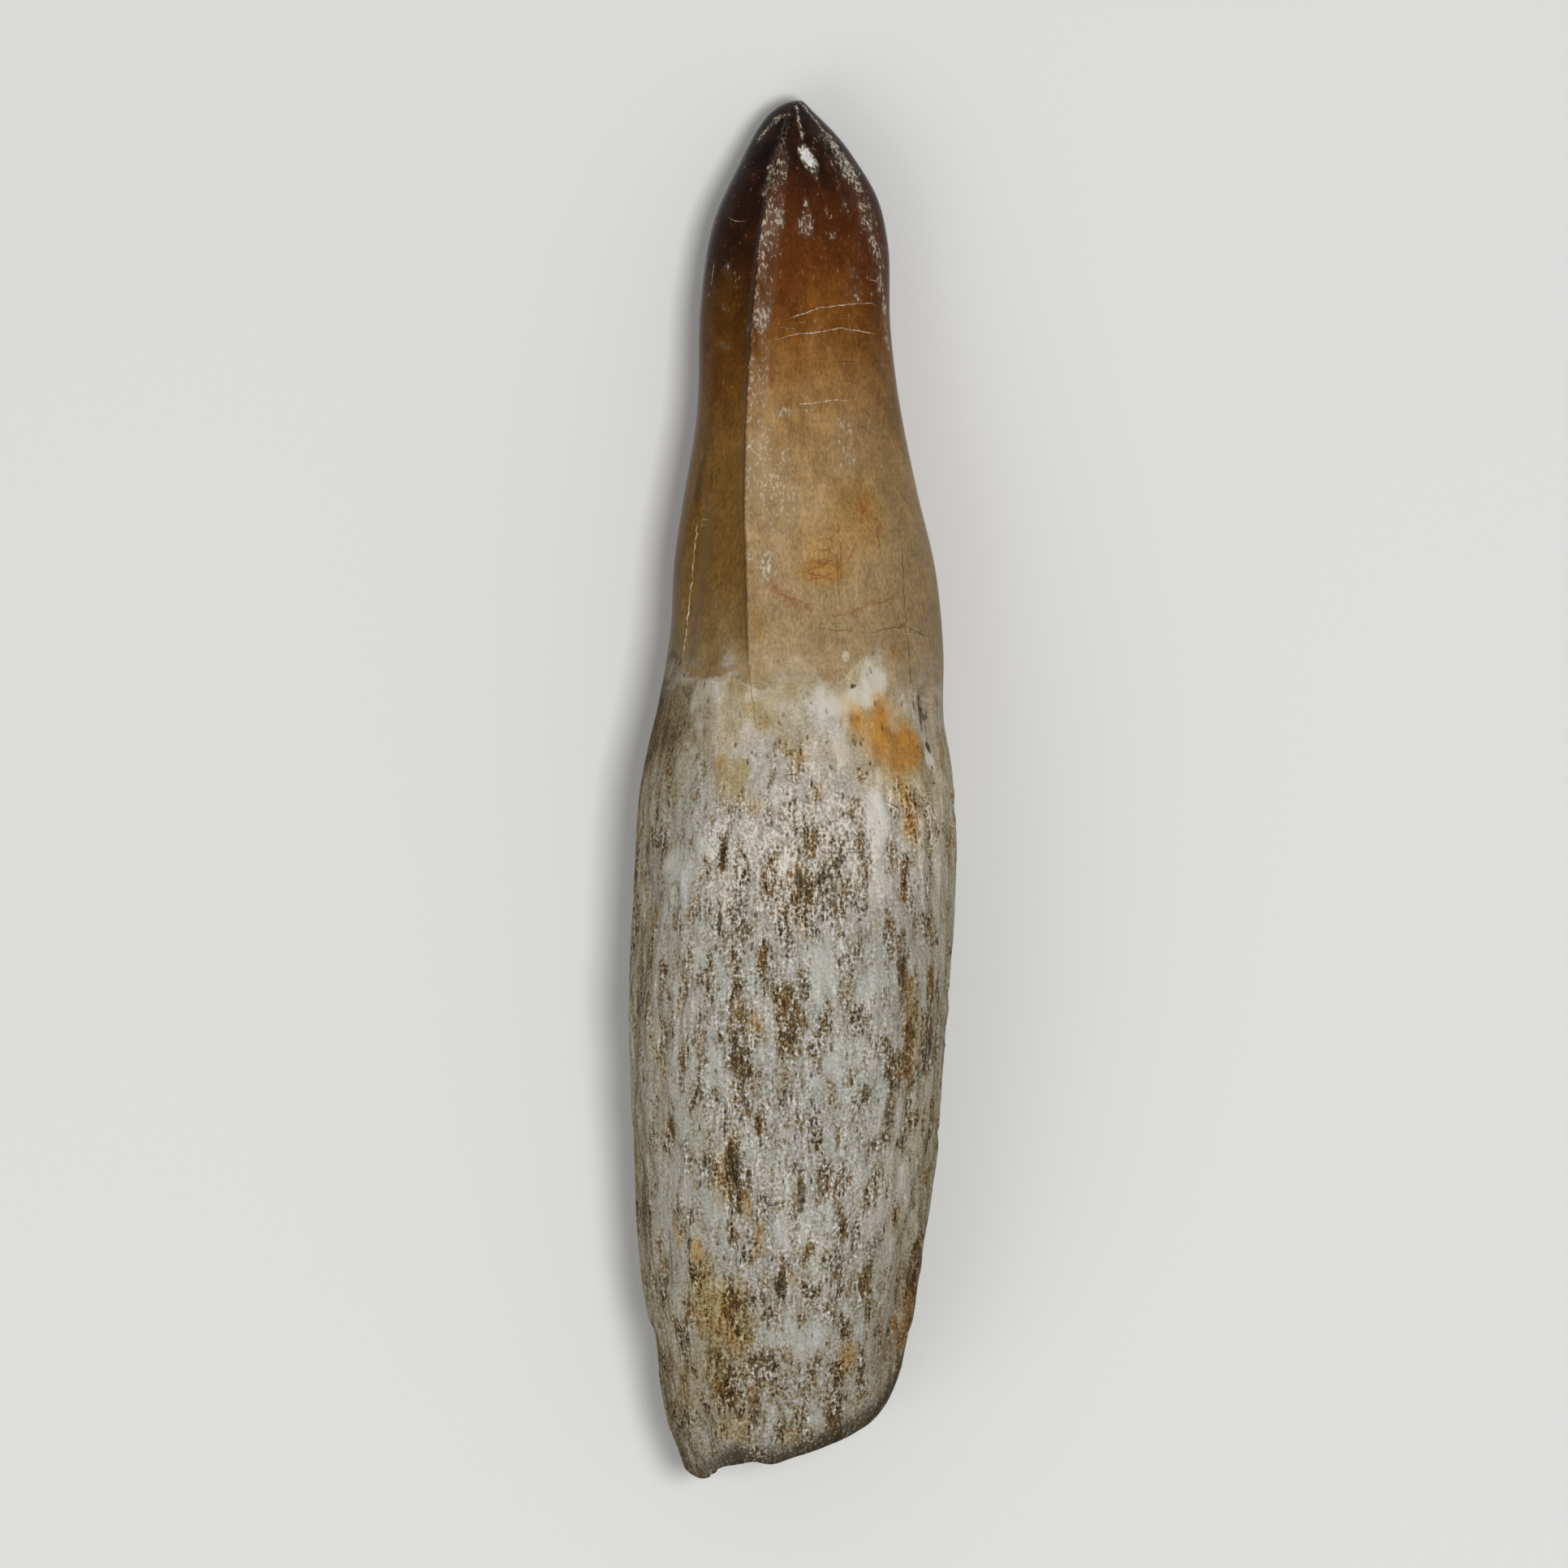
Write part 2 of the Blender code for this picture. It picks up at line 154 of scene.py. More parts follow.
# Marks on the upper side, each as a place across, a distance from the tip, a half width, a half length, a
# strength and, where it isn't upright, a slant in degrees.
MARKS = {
    "rust": (
        (7.4, 48.9, 2.9, 3.6, 1.9, -20), (6.9, 46.9, 1.5, 1.8, 1.5), (4.9, 47.6, 2.8, 1.3, 1.2, 60),
        (8.5, 49.5, 2, 2.4, 2.4, -20), (7.2, 50.6, 2.4, 3, 1, -10), (3.4, 49.8, 2.2, 1.6, 0.25),
        (6.6, 45.9, 1, 1, 0.8), (8.9, 55.4, 1.1, 1.7, 1.3), (8.3, 52.8, 1.1, 2.2, 1.2, -10),
        (-5.6, 50.4, 0.7, 0.7, 0.9), (0.6, 50.2, 0.7, 0.5, 1), (9.6, 54, 0.5, 2, 0.9),
        (-3.6, 84, 0.6, 1.8, 1.5, 8), (-2.7, 86.5, 0.6, 2.6, 0.9, 12), (-7.4, 87.4, 0.6, 1.8, 1.3),
        (-8.8, 86.2, 0.6, 1.4, 1), (-5.6, 80.6, 1.1, 2.4, 0.7), (-5.4, 91.8, 2.4, 3.4, 0.8, 15),
        (-4.2, 94.2, 1.5, 1.6, 1, 30), (-0.1, 89.6, 0.6, 0.9, 1), (5.9, 91.2, 0.6, 2.2, 0.7),
        (4.3, 95.5, 1, 1.4, 1), (-2.8, 70.4, 0.9, 1.5, 0.7), (-10, 74.3, 0.8, 3.8, 0.5),
        (0.6, 62.6, 1.2, 1.8, 0.5), (6.6, 62.2, 1, 0.8, 0.5), (-8, 98.5, 1.6, 2.6, 0.5, 20),
        (-7.2, 77.5, 0.8, 3, 0.45), (9.2, 83.6, 0.3, 2, 0.7, 8), (1.6, 53.4, 0.5, 0.9, 0.6),
        (1.9, 52.4, 0.9, 0.5, 0.5), (-2.9, 53.6, 0.9, 1.2, 0.45), (9, 50.2, 2, 3.6, 0.6),
        (5.6, 31.2, 1.4, 1.8, 1.2), (2.4, 36, 2.4, 1.4, 1.3), (5, 32, 2.6, 3, 0.6),
        (2.6, 34.6, 2.6, 2.6, 0.45), (-2.6, 40, 0.4, 3, 0.7), (7.9, 42.2, 0.9, 0.6, 0.5),
        (-3.6, 37, 0.15, 1.6, 1), (6.9, 43.6, 0.3, 0.3, 0.7),
    ),
    "pale_bone": (
        (-6.9, 47.2, 1.9, 2.4, 0.3), (5.7, 43.9, 0.8, 1.6, 1.3), (6.6, 44.6, 0.8, 1.4, 1.3),
        (3.2, 46.2, 2.4, 0.9, 1.2), (5, 45.6, 1.8, 1, 1.2), (8.3, 46.6, 0.8, 1.3, 0.4),
        (2, 46.1, 2.4, 0.7, 0.8, 90), (6.3, 55.1, 1.2, 4.4, 1.7), (6.4, 51.6, 0.5, 1.6, 0.9),
        (1.9, 67.4, 0.7, 1.9, 1.4, -14), (4, 46, 2.2, 1.2, 1), (6, 44.6, 1.2, 1.4, 1.6),
        (8.7, 82.1, 1.3, 2.2, 1.1), (1.2, 94.4, 1.7, 2.2, 0.9, 10), (3.6, 49.5, 1.7, 1.5, 0.8),
        (6.9, 60.5, 1.6, 2, 0.6), (5, 72.6, 2, 2.2, 0.6), (11, 50.5, 0.5, 3.4, 0.9),
        (-6.3, 72, 0.9, 4, 0.7), (-8.5, 58.5, 2.2, 3.4, 0.45, 20), (-0.6, 57.5, 0.5, 3.6, 0.6),
        (-1.4, 53, 0.5, 2.6, 0.7), (4, 42.4, 0.35, 0.6, 1), (2.6, 85, 1.4, 3, 0.7, 20),
        (7.6, 87.4, 0.7, 2.4, 0.8), (0.4, 103, 2.6, 0.6, 0.6, 60), (-0.4, 78, 0.8, 2.6, 0.6),
        (3.2, 64.6, 1.6, 1.3, 0.8, 30), (-8.4, 102, 0.9, 1.5, 0.6, 20), (2.2, 66.5, 1.3, 3, 0.9, -8),
        (5.8, 68, 2.2, 2.6, 0.7, 20), (3.4, 73.6, 2.4, 1.8, 0.6), (3.2, 79.6, 1.4, 1.8, 0.7),
        (9.1, 80.8, 1.3, 3.2, 0.9), (-8.6, 63.5, 2.4, 4.6, 0.6), (0.3, 86, 1.9, 2.4, 0.8, -20),
        (0.2, 94.5, 2.6, 2.7, 0.8, 10), (1.6, 100, 2, 1.6, 0.6), (-8.9, 75, 1, 3.4, 0.5),
        (-9, 84, 1.6, 3, 0.5), (6.6, 85, 1.2, 2, 0.5),
    ),
    # Dirt on the root. The mark at -7 across and 29 from the tip is painted shade where the left facet turns
    # under.
    "dirt_and_shade": (
        (10.2, 46.7, 0.9, 1.3, 1.6), (8.9, 54.4, 1.1, 2.2, 0.7, -10), (-7, 29, 0.55, 4.4, 1.2, 4),
        (-0.7, 71.4, 0.6, 1.4, 1.3), (-0.8, 68.2, 0.9, 1.2, 1.2), (-4.9, 85.6, 0.35, 1.7, 1.2),
        (1.3, 87.2, 0.35, 1.5, 1.2), (5.6, 89.4, 0.5, 1.6, 1.3, 10), (3.2, 99.6, 0.9, 2.4, 0.9),
        (-5.4, 57.4, 0.45, 2.2, 1.1), (-5.6, 61.8, 0.5, 2, 0.9), (1, 61.3, 1.2, 1.7, 1.1),
        (-0.2, 70, 1.4, 3.4, 1), (-3.8, 73.8, 1.2, 1.2, 1), (8.5, 66.1, 0.8, 3.2, 0.9),
        (9, 67.2, 1, 0.8, 0.8), (8.1, 73.6, 1.7, 1.6, 1, -30), (10.6, 70, 0.7, 8, 0.8),
        (-9.4, 78, 0.8, 1.4, 1), (-10.8, 64, 0.4, 5.2, 0.6), (-0.9, 90, 0.6, 1.4, 1),
        (0.8, 57.5, 3.4, 4, 0.4), (-4.9, 91.8, 2, 3.2, 0.35, 10), (9.2, 90.5, 1, 5.5, 0.9, 4),
        (-1, 96.3, 3.4, 2.4, 0.5), (4, 101.6, 4.6, 1, 0.9, 62), (-4.8, 98, 2.6, 2.8, 0.6),
        (8.5, 58.9, 0.5, 3, 0.9), (1.6, 86.2, 0.5, 1.4, 0.9), (3.9, 85.6, 0.6, 1.5, 0.8),
        (5.9, 89.2, 0.5, 1.6, 1.1), (-4.6, 86.5, 0.5, 1.5, 0.9), (-2.2, 66, 0.5, 3.4, 0.7),
        (-4.8, 80, 0.5, 3.4, 0.7), (4.8, 76.2, 0.5, 1.8, 0.9), (3.4, 78.8, 0.4, 1.4, 0.8),
        (7.4, 77.6, 0.7, 2.6, 0.6), (-1.9, 58.6, 0.9, 2.6, 0.6), (2.6, 58.8, 0.7, 1.6, 0.8),
        (-8.2, 72.8, 0.9, 1.6, 0.7), (0.6, 82.6, 0.35, 2.6, 0.8), (-2.6, 77.5, 0.4, 3.6, 0.7),
        (3.6, 97, 0.8, 1.4, 0.9), (-4.3, 71, 1.1, 5, 0.8), (-4.6, 82, 1, 5, 0.8, 6),
        (9, 73.5, 0.8, 5.5, 0.9),
    ),
    "dark": (
        (10.9, 49.3, 0.17, 1.1, 1.5, 4), (11.1, 50.9, 0.1, 1.2, 1, 8), (10.3, 46.6, 0.6, 1.3, 0.3),
        (5.5, 51.2, 0.25, 0.25, 1), (4.6, 44.8, 0.3, 0.14, 1.5), (-8.2, 44, 0.1, 0.9, 1.3, -8),
        (-5.4, 57.4, 0.3, 1.2, 0.2), (-0.9, 90, 0.3, 0.9, 0.3), (-8.6, 43, 0.1, 0.6, 1),
        (-9.2, 78, 0.3, 0.8, 0.4),
    ),
    "olive": (
        (-0.9, 45.2, 2.2, 1.1, 0.9), (-4.6, 52, 2.4, 2.2, 0.9), (9.6, 45.7, 0.8, 1.6, 0.9),
        (-8.8, 52.5, 0.8, 3, 0.3, 20), (0, 49, 1.4, 2.6, 0.6), (-3.9, 50.9, 1.2, 1, 0.9),
        (-3.9, 44.6, 2, 1.6, 0.9), (-2.4, 46.4, 2.6, 2.4, 0.9), (-6, 95, 2.6, 5, 0.9),
        (-5.8, 92.5, 3.4, 5, 1.1), (-5.8, 82.6, 1.4, 2.2, 0.8), (-4.6, 101, 2.4, 2.4, 0.5),
        (4.4, 95.2, 1.2, 2.2, 0.7), (9.2, 71, 1.4, 5, 0.7), (-7, 88, 2, 4, 0.6),
        (0, 102, 2.6, 1.2, 0.7, 60),
    ),
    # Flecks of wear and mineral. The first mark is white mineral with a painted highlight, the one at 9.8
    # across and 40.9 from the tip is a painted highlight, and the long ovals right of the keel from 20 to 36
    # from the tip are painted sheen.
    "flecks": (
        (1.15, 4.5, 0.75, 2, 2.3, -22), (1.7, 5.8, 0.4, 0.9, 1, -20), (-1.2, 9.3, 0.9, 1.9, 0.9),
        (0.9, 9.6, 0.9, 1.5, 1), (1, 8, 0.35, 1, 0.8), (2.6, 8.6, 0.25, 1.9, 1, -6),
        (3, 10.4, 0.4, 0.5, 0.8), (-2.3, 16.7, 0.9, 1.3, 1.2), (-3.2, 17.6, 0.5, 0.6, 1.1),
        (0.6, 14.3, 0.2, 0.5, 0.9), (-1.3, 14.8, 0.4, 0.3, 0.9), (-0.6, 24, 1.4, 0.7, 1.2),
        (1.2, 23.8, 0.6, 0.35, 1.2), (-1.9, 35.6, 1.2, 1.8, 1.4), (-3.2, 34.9, 0.5, 0.6, 1.3),
        (0.6, 34.8, 0.4, 1.4, 0.5), (-1.2, 29.5, 2.4, 6.5, 0.9), (4.5, 13.2, 0.8, 0.5, 0.6),
        (4.4, 14.8, 1.2, 1.6, 0.6), (-2, 27, 1.2, 6, 1), (4, 26.6, 1.5, 4, 0.8, 8),
        (5.6, 24.5, 1.4, 5, 0.5, 6), (6.6, 14.2, 0.5, 1.4, 1), (-5, 13, 0.5, 0.8, 0.5),
        (-5.2, 16, 0.4, 0.4, 0.7), (-5.2, 18.9, 0.8, 0.5, 0.8, 30), (-6.6, 12.6, 0.15, 1.6, 0.9, 6),
        (1.9, 31.2, 0.5, 1, 0.5), (5.2, 33, 0.35, 0.3, 0.9), (3.7, 31.8, 0.35, 0.3, 0.9),
        (5, 35.8, 0.25, 0.5, 0.7), (0.2, 37, 0.5, 0.4, 0.6), (8.75, 42.3, 0.12, 0.6, 1.4),
        (10.1, 44, 0.12, 0.6, 1.2), (9.8, 40.9, 0.25, 0.3, 1.6), (6.8, 19.6, 0.4, 2.4, 0.7),
        (-6.7, 10.4, 0.5, 1.2, 0.5),
    ),
}

# Lines of wear and of rust on the upper side: points, a half width and a strength.
FLECK_LINES = (
    ((0.5, 0.1, 1.2, 0.9, 2.1, 2, 2.5, 3), 0.30, 1.4), ((0.3, 0.5, 0.45, 1.6, 0.8, 3.1), 0.24, 1.35),
    ((2.4, 2.7, 3.2, 3.6, 4.4, 5.4, 5, 7), 1.40, 1.15), ((5, 7, 5.5, 8.6, 6, 10.4, 6.5, 12.4), 1.60, 0.80),
    ((6.4, 12, 6.9, 14.6, 7.1, 17, 7.3, 19), 0.60, 1.0),
    ((-0.3, 1.1, -1.2, 1.4, -2, 2.4, -2.6, 3), 0.50, 1.1), ((-0.9, 3.8, -1.5, 5.2, -1.9, 7), 0.70, 0.9),
    ((-1.7, 6.5, -2, 9, -2.5, 12.5), 0.30, 0.9), ((2.6, 2.6, 3.4, 6.4, 4.6, 9.6, 5.6, 11.6), 0.35, 0.6),
)
RUST_LINES = (
    ((-1.6, 37, -0.6, 38.2, 0.3, 38.6), 0.70, 1.1), ((0.3, 38.6, 2.3, 39.1, 3.9, 39.2), 0.35, 0.7),
    ((3.9, 39.2, 5.2, 38.8, 6.3, 38.3), 0.40, 0.8), ((6.3, 38.3, 8.2, 37.6), 0.30, 0.5),
    ((3.4, 33.6, 3.7, 36.6), 0.45, 0.6), ((5, 30.2, 5.3, 31.6, 6.2, 32.4), 0.45, 0.6),
    ((-3.1, 34.5, -3, 37.5, -2.9, 41.5), 0.22, 1.3),
)

# Cracks and fine rust-brown veins on the upper side, as points too. Mineral has filled the white cracks.
CRACKS = {
    "white_crack": (
        (-0.7, 17, 0.4, 16.6, 2.4, 15.9, 4.5, 15.7, 6, 15.6, 6.5, 15.9),
        (-1.6, 18.5, 0.4, 18, 2.4, 17.8, 3.7, 17.5, 5.5, 17.8, 6.5, 18), (5.6, 13.7, 6.9, 14.2),
        (-0.2, 23.5, 2.9, 23.05, 4.5, 23),
        # The line along the left flake's edge, from 32 to 44 from the tip, is a white mineral crack and also
        # stands for the edge's painted highlight.
        (-7.2, 32.2, -7.35, 33.8, -7.7, 37.3, -8, 40.3, -8.3, 42.2, -8.2, 43.8), (-7.2, 32.1, -5.95, 32.1),
        (-5.1, 8.9, -4.3, 9.4, -3.4, 9.3), (-5.9, 12.3, -6.2, 14.4), (8.2, 40.7, 9.2, 40.8, 10, 41.1),
    ),
    "dark_crack": (
        (5.3, 40.8, 7.7, 40.3, 8.9, 40.25, 9.7, 40.75, 11, 41.1), (5.2, 54.1, 5.4, 57),
        (-3.5, 37, -3.45, 40, -3.3, 44, -2.6, 48.5), (8.3, 33.3, 8.5, 39.3, 8.9, 42.6, 9, 45),
        (-6.2, 22, -6.1, 27, -6.2, 31), (10.3, 51.5, 10.8, 54.5), (2.8, 20.1, 5.5, 20),
        (3.4, 34.2, 3.5, 38.6),
    ),
    "vein": (
        (-2, 36.2, -0.9, 37.9, 0.2, 38.4), (-1.8, 37.5, 0.4, 38.2, 1.9, 38.9),
        (-1, 38.6, 0.9, 38.9, 2.2, 39.4), (2.4, 39.1, 3.3, 39.5, 4.3, 39.1),
        (4, 39.4, 5.4, 38.7, 5.9, 38.8), (5.7, 38.6, 6.9, 38.4, 8.4, 37.3),
        (3.3, 31.8, 3.6, 33.6, 3.75, 36.8), (3.75, 36.8, 2.4, 36.5, 0.6, 36.9),
        (3.7, 36.2, 2.2, 35.7, 0.2, 36.2), (3.7, 35.6, 2.4, 35.1, 0.9, 35.4),
        (3.6, 35, 2.6, 34.4, 1.2, 34.6), (3.6, 34.3, 2.8, 33.6, 1.7, 33.7),
        (3.6, 33.7, 2.9, 32.8, 2.1, 32.8), (3.75, 35.8, 4.4, 34.9, 4.9, 33.4),
        (5, 29.8, 5.3, 31.2, 5.2, 33), (5.3, 31.2, 6.2, 31.8, 7, 33), (4, 31, 5.2, 31.5, 6, 30.5),
        (6.2, 31.8, 6.5, 33.4, 6.7, 35), (4.6, 32.2, 5.6, 32.6, 6.6, 33.6), (1.2, 40.2, 3.4, 40.6, 5, 40.3),
        (2.6, 43.9, 3.6, 43.5, 4.6, 43.5),
    ),
}

# Near a crack each point holds how far it is to the crack's left or right. The surface blends that evenly
# between its points, so that a crack is drawn far finer than the grid. The strength fades out between these
# distances from the crack, and over this length at its ends. Elsewhere a crack is this far off.
CRACK_REACH = (0.45, 0.75)
CRACK_TAPER = 1.2
FAR = 9.0

# What the photo doesn't show gets marks like those that it does: a field, how many marks and how strong.
# Each mark's distance from the tip, angle round the tooth, half width, length for its width, slant and
# share of the strength are drawn evenly between two values.
UNSEEN_MARKS = (("rust", 16, 0.8), ("pale_bone", 22, 1.0), ("dirt_and_shade", 34, 1.0), ("flecks", 26, 0.9))
UNSEEN_SEED = 7
CROWN_SPAN = (2.0, 43.0)
ROOT_SPAN = (46.0, 101.0)
UNSEEN_ANGLES = (-0.90 * math.pi, -0.08 * math.pi)
UNSEEN_HALF_WIDTHS = (0.4, 1.5)
UNSEEN_STRETCH = (0.9, 3.0)
UNSEEN_SLANTS = (-12, 12)
UNSEEN_SHARES = (0.5, 1.0)

# Over which sines of a point's angle round the tooth the underside gives way to the upper side, and above
# which one there are cracks.
UPPER_SIDE = (-0.25, 0.25)
CRACKED_SIDE = -0.05
# How fast the margin along the tooth's sides fades, and how much weaker it is on the underside. The finishes
# darken the sides by it, as painted shade.
MARGIN_POWER = 3
MARGIN_UNDERNEATH = 0.5

# How often a search halves its angles, the steps by which the rings lean over, and the least length that
# something is divided by.
HALVINGS = 24
LEANING_STEPS = 4
LEAST = 0.01

# What the noise is made with.
HASH_STEPS = (73856093, 19349663, 83492791)
HASH_MIX = 1274126177
LOW_BITS = 0xFFFFFFFF
CORNERS = tuple((i, j, k) for i in (0, 1) for j in (0, 1) for k in (0, 1))
NEIGHBOURS = tuple((i, j, k) for i in (-1, 0, 1) for j in (-1, 0, 1) for k in (-1, 0, 1))


def curve(at, place, wanted):
    """The place at each wanted value on a smooth curve, a cubic between each two of the given places."""
    slope = np.gradient(place, at)
    wanted = np.clip(wanted, at[0], at[-1])
    i = np.clip(np.searchsorted(at, wanted, side="right") - 1, 0, len(at) - 2)
    gap = at[i + 1] - at[i]
    t = (wanted - at[i]) / gap
    return (
        place[i] * (1 + 2 * t) * (1 - t) ** 2
        + slope[i] * gap * t * (1 - t) ** 2
        + place[i + 1] * t**2 * (3 - 2 * t)
        + slope[i + 1] * gap * t**2 * (t - 1)
    )


def along(line, distance):
    """A place at each distance from the tip, on a curve in the distance's square root, a dome at the tip."""
    at, place = np.array(line, float).T
    return curve(np.sqrt(at), place, np.sqrt(np.maximum(distance, 0)))


def eased(value, low, high):
    """0 below low, 1 above high, and a smooth step between."""
    t = np.clip((value - low) / (high - low), 0, 1)
    return t * t * (3 - 2 * t)


def scattered(cells, seed):
    """An even spread of numbers from 0 to 1, one for each whole-number cell of space."""
    mixed = cells.astype(np.int64) @ np.array(HASH_STEPS) + seed * HASH_STEPS[0]
    for shift in (15, 13):
        mixed = ((mixed ^ (mixed >> shift)) & LOW_BITS) * HASH_MIX & LOW_BITS
    return (mixed ^ (mixed >> 16)) / LOW_BITS


def wavy(points, wide, long, seed):
    """Smooth noise from -1 to 1, blended between the corners of cells of a width and a length."""
    scaled = points / (wide, long, wide)
    cell = np.floor(scaled)
    t = scaled - cell
    t = t * t * t * (t * (6 * t - 15) + 10)
    total = np.zeros(len(points))
    for corner in CORNERS:
        total += np.prod(np.where(corner, t, 1 - t), axis=1) * scattered(cell + corner, seed)
    return 2 * total - 1


def pitted(points, wide, long, share, seed):
    """1 in the middle of scattered oval pits, falling to 0 at their rims. A share of the cells has one."""
    scaled = points / (wide, long, wide)
    deepest = np.zeros(len(points))
    for neighbour in NEIGHBOURS:
        near = np.floor(scaled) + neighbour
        middle = near + np.stack([scattered(near, seed + k) for k in (1, 2, 3)], axis=1)
        there = scattered(near, seed) < share
        gap = np.linalg.norm(scaled - middle, axis=1)
        deepest = np.maximum(deepest, there * eased(-gap, -PIT_RIM, -PIT_FLOOR))
    return deepest


def points_at(across, distance, up):
    """Points from their places across, their distances from the tip and their heights."""
    return np.stack([across, TIP_Y - distance, up], axis=1)


def section(distance, angle):
    """The smooth tooth, across and up, at a distance from the tip and an angle round it, and its middle.

    Each side of a section is an arc of an ellipse from the lower keel to the upper one.
    """
    right = np.abs(angle) <= math.pi / 2
    rise = np.where(right, angle, np.sign(angle) * (math.pi - np.abs(angle))) / (math.pi / 2)
    bulge = np.radians(np.where(right, along(RIGHT_BULGE, distance), along(LEFT_BULGE, distance)))
    edge = np.where(right, along(RIGHT_EDGE, distance), along(LEFT_EDGE, distance))
    upper, lower = along(UPPER_KEEL, distance), along(LOWER_KEEL, distance)
    top, bottom = along(TOP_LINE, distance), along(UNDERSIDE, distance)
    keel = (upper + lower) / 2
    out = (np.cos(bulge * rise) - np.cos(bulge)) / (1 - np.cos(bulge))
    across = keel + rise * (upper - lower) / 2 + (edge - keel) * out
    up = (top + bottom) / 2 + (top - bottom) / 2 * np.sin(bulge * rise) / np.sin(bulge)
    return across, up, keel, (top + bottom) / 2


def break_distance(across, up):
    """How far from the tip the break is: the rim's curve across, less a slant times the height."""
    rim_across, rim_distance = np.array(BREAK_RIM).T
    return curve(rim_across, rim_distance, across) - BREAK_SLANT * (up - BREAK_FOOT_HEIGHT)


def smooth_tooth(distance, angle):
    """The smooth tooth's points, and the middle of each point's section.

    The rings lean over gradually until the last one lies along the break's rim.
    """
    lean = eased(distance, SLANT_FROM, BREAK_AT)
    own = distance
    for _ in range(LEANING_STEPS):
        across, up, middle_across, middle_up = section(own, angle)
        own = distance + lean * (break_distance(across, up) - BREAK_AT)
    return points_at(across, own, up), points_at(middle_across, own, middle_up)


def seen_from_above(across, distance):
    """The point of the upper side at a place across and a distance from the tip, found by halving angles."""
    low, high = np.zeros(len(across)), np.full(len(across), math.pi)
    for _ in range(HALVINGS):
        angle = (low + high) / 2
        too_far_right = section(distance, angle)[0] > across
        low, high = np.where(too_far_right, angle, low), np.where(too_far_right, high, angle)
    return points_at(across, distance, section(distance, low)[1])


def corners_of(path):
    """A line's corners, one to a row: places across and distances from the tip."""
    return np.array(path, float).reshape(-1, 2)


def distance_to(points, path):
    """How far each point is from a line on the upper side, the least of its distances to the line's parts."""
    corners = seen_from_above(*corners_of(path).T)
    nearest = np.full(len(points), np.inf)
    for start, part in zip(corners, np.diff(corners, axis=0)):
        share = np.clip((points - start) @ part / (part @ part), 0, 1)
        nearest = np.minimum(nearest, np.linalg.norm(points - start - share[:, None] * part, axis=1))
    return nearest


def fibre_places(distance, angle):
    """The root's surface laid out round a drum, so that its fibres run along it with one width all round."""
    return np.stack([GRAIN_RADIUS * np.cos(angle), distance, GRAIN_RADIUS * np.sin(angle)], axis=1)


def enamel_wander(points):
    """How far the enamel's edge wanders from its mean distance."""
    return ENAMEL_WANDER * wavy(points, ENAMEL_WAVE, ENAMEL_WAVE, ENAMEL_SEED)


def broad_relief(points, distance, angle):
    """How far the surface stands out from the smooth tooth: keels, swellings, less pits, lines and rim."""
    grain = fibre_places(distance, angle)
    enamel_end = ENAMEL_END + enamel_wander(points)
    root = eased(distance, enamel_end, enamel_end + ROUGHNESS_SETS_IN)
    keel = eased(distance, *KEEL_RISES) * (1 - eased(distance, *KEEL_SINKS))
    from_keel = np.abs(90 - np.degrees(np.abs(angle)))
    out = KEEL_HEIGHT * keel * eased(-from_keel, -KEEL_HALF_WIDTH_DEGREES, 0)
    for height, wide, long, seed in WAVES:
        out += height * root * wavy(grain, wide, long, seed)
    for depth, wide, long, share, seed in PITS:
        out -= depth * root * pitted(grain, wide, long, share, seed)
    for path, depth, half_width in SUNKEN_LINES:
        out -= depth * eased(-distance_to(points, path), -2 * half_width, 0)
    rounding, reach = BREAK_ROUNDING
    return out - rounding * eased(distance, BREAK_AT - reach, BREAK_AT)


def keel_offset(distance, angle):
    """How far to the right of its nearer keel a point is, in millimetres round the tooth."""
    width = along(RIGHT_EDGE, distance) - along(LEFT_EDGE, distance)
    return (math.pi / 2 - np.abs(angle)) * width / 2


def fine_relief(points, distance, angle):
    """How far the fine relief cuts in, in millimetres, and how much of a hollow each point lies in.

    Fibres are long noise, pores are small oval pits, and beads of wear follow the right side of each keel.
    """
    grain = fibre_places(distance, angle)
    root = eased(distance, *COLLAR)
    cut, hollow = np.zeros(len(points)), np.zeros(len(points))
    for depth, wide, long, seed in FIBRES:
        cut += depth * root * (0.5 + 0.5 * wavy(grain, wide, long, seed))
    for depth, wide, long, share, seed in PORES:
        pit = root * pitted(grain, wide, long, share, seed)
        cut += depth * pit
        hollow = np.maximum(hollow, pit)
    middle, half_width = BEAD_BAND
    height, size, seed = KEEL_BEADS
    band = eased(-np.abs(keel_offset(distance, angle) - middle), -half_width, -half_width / 2)
    worn = band * eased(distance, *BEADS_RISE) * (1 - eased(distance, *BEADS_SINK))
    return cut + height * worn * (0.5 - 0.5 * wavy(points, size, size, seed)), hollow


def broken_end(points, inward):
    """How far the broken face stands in towards the tip. Inward is 0 at the rim and 1 at the middle."""
    coarse, fine = (wavy(points, size, size, BREAK_SEED) for size in BREAK_LUMPS)
    rough = BREAK_ROUGHNESS * (1 + coarse + SMALLER_LUMPS * fine)
    for height, size, seed in BREAK_GRAINS:
        rough += height * (1 + wavy(points, size, size, seed))
    return BREAK_HOLLOW * eased(inward, 0, 1) + rough * eased(inward, 0, BREAK_SETS_IN)


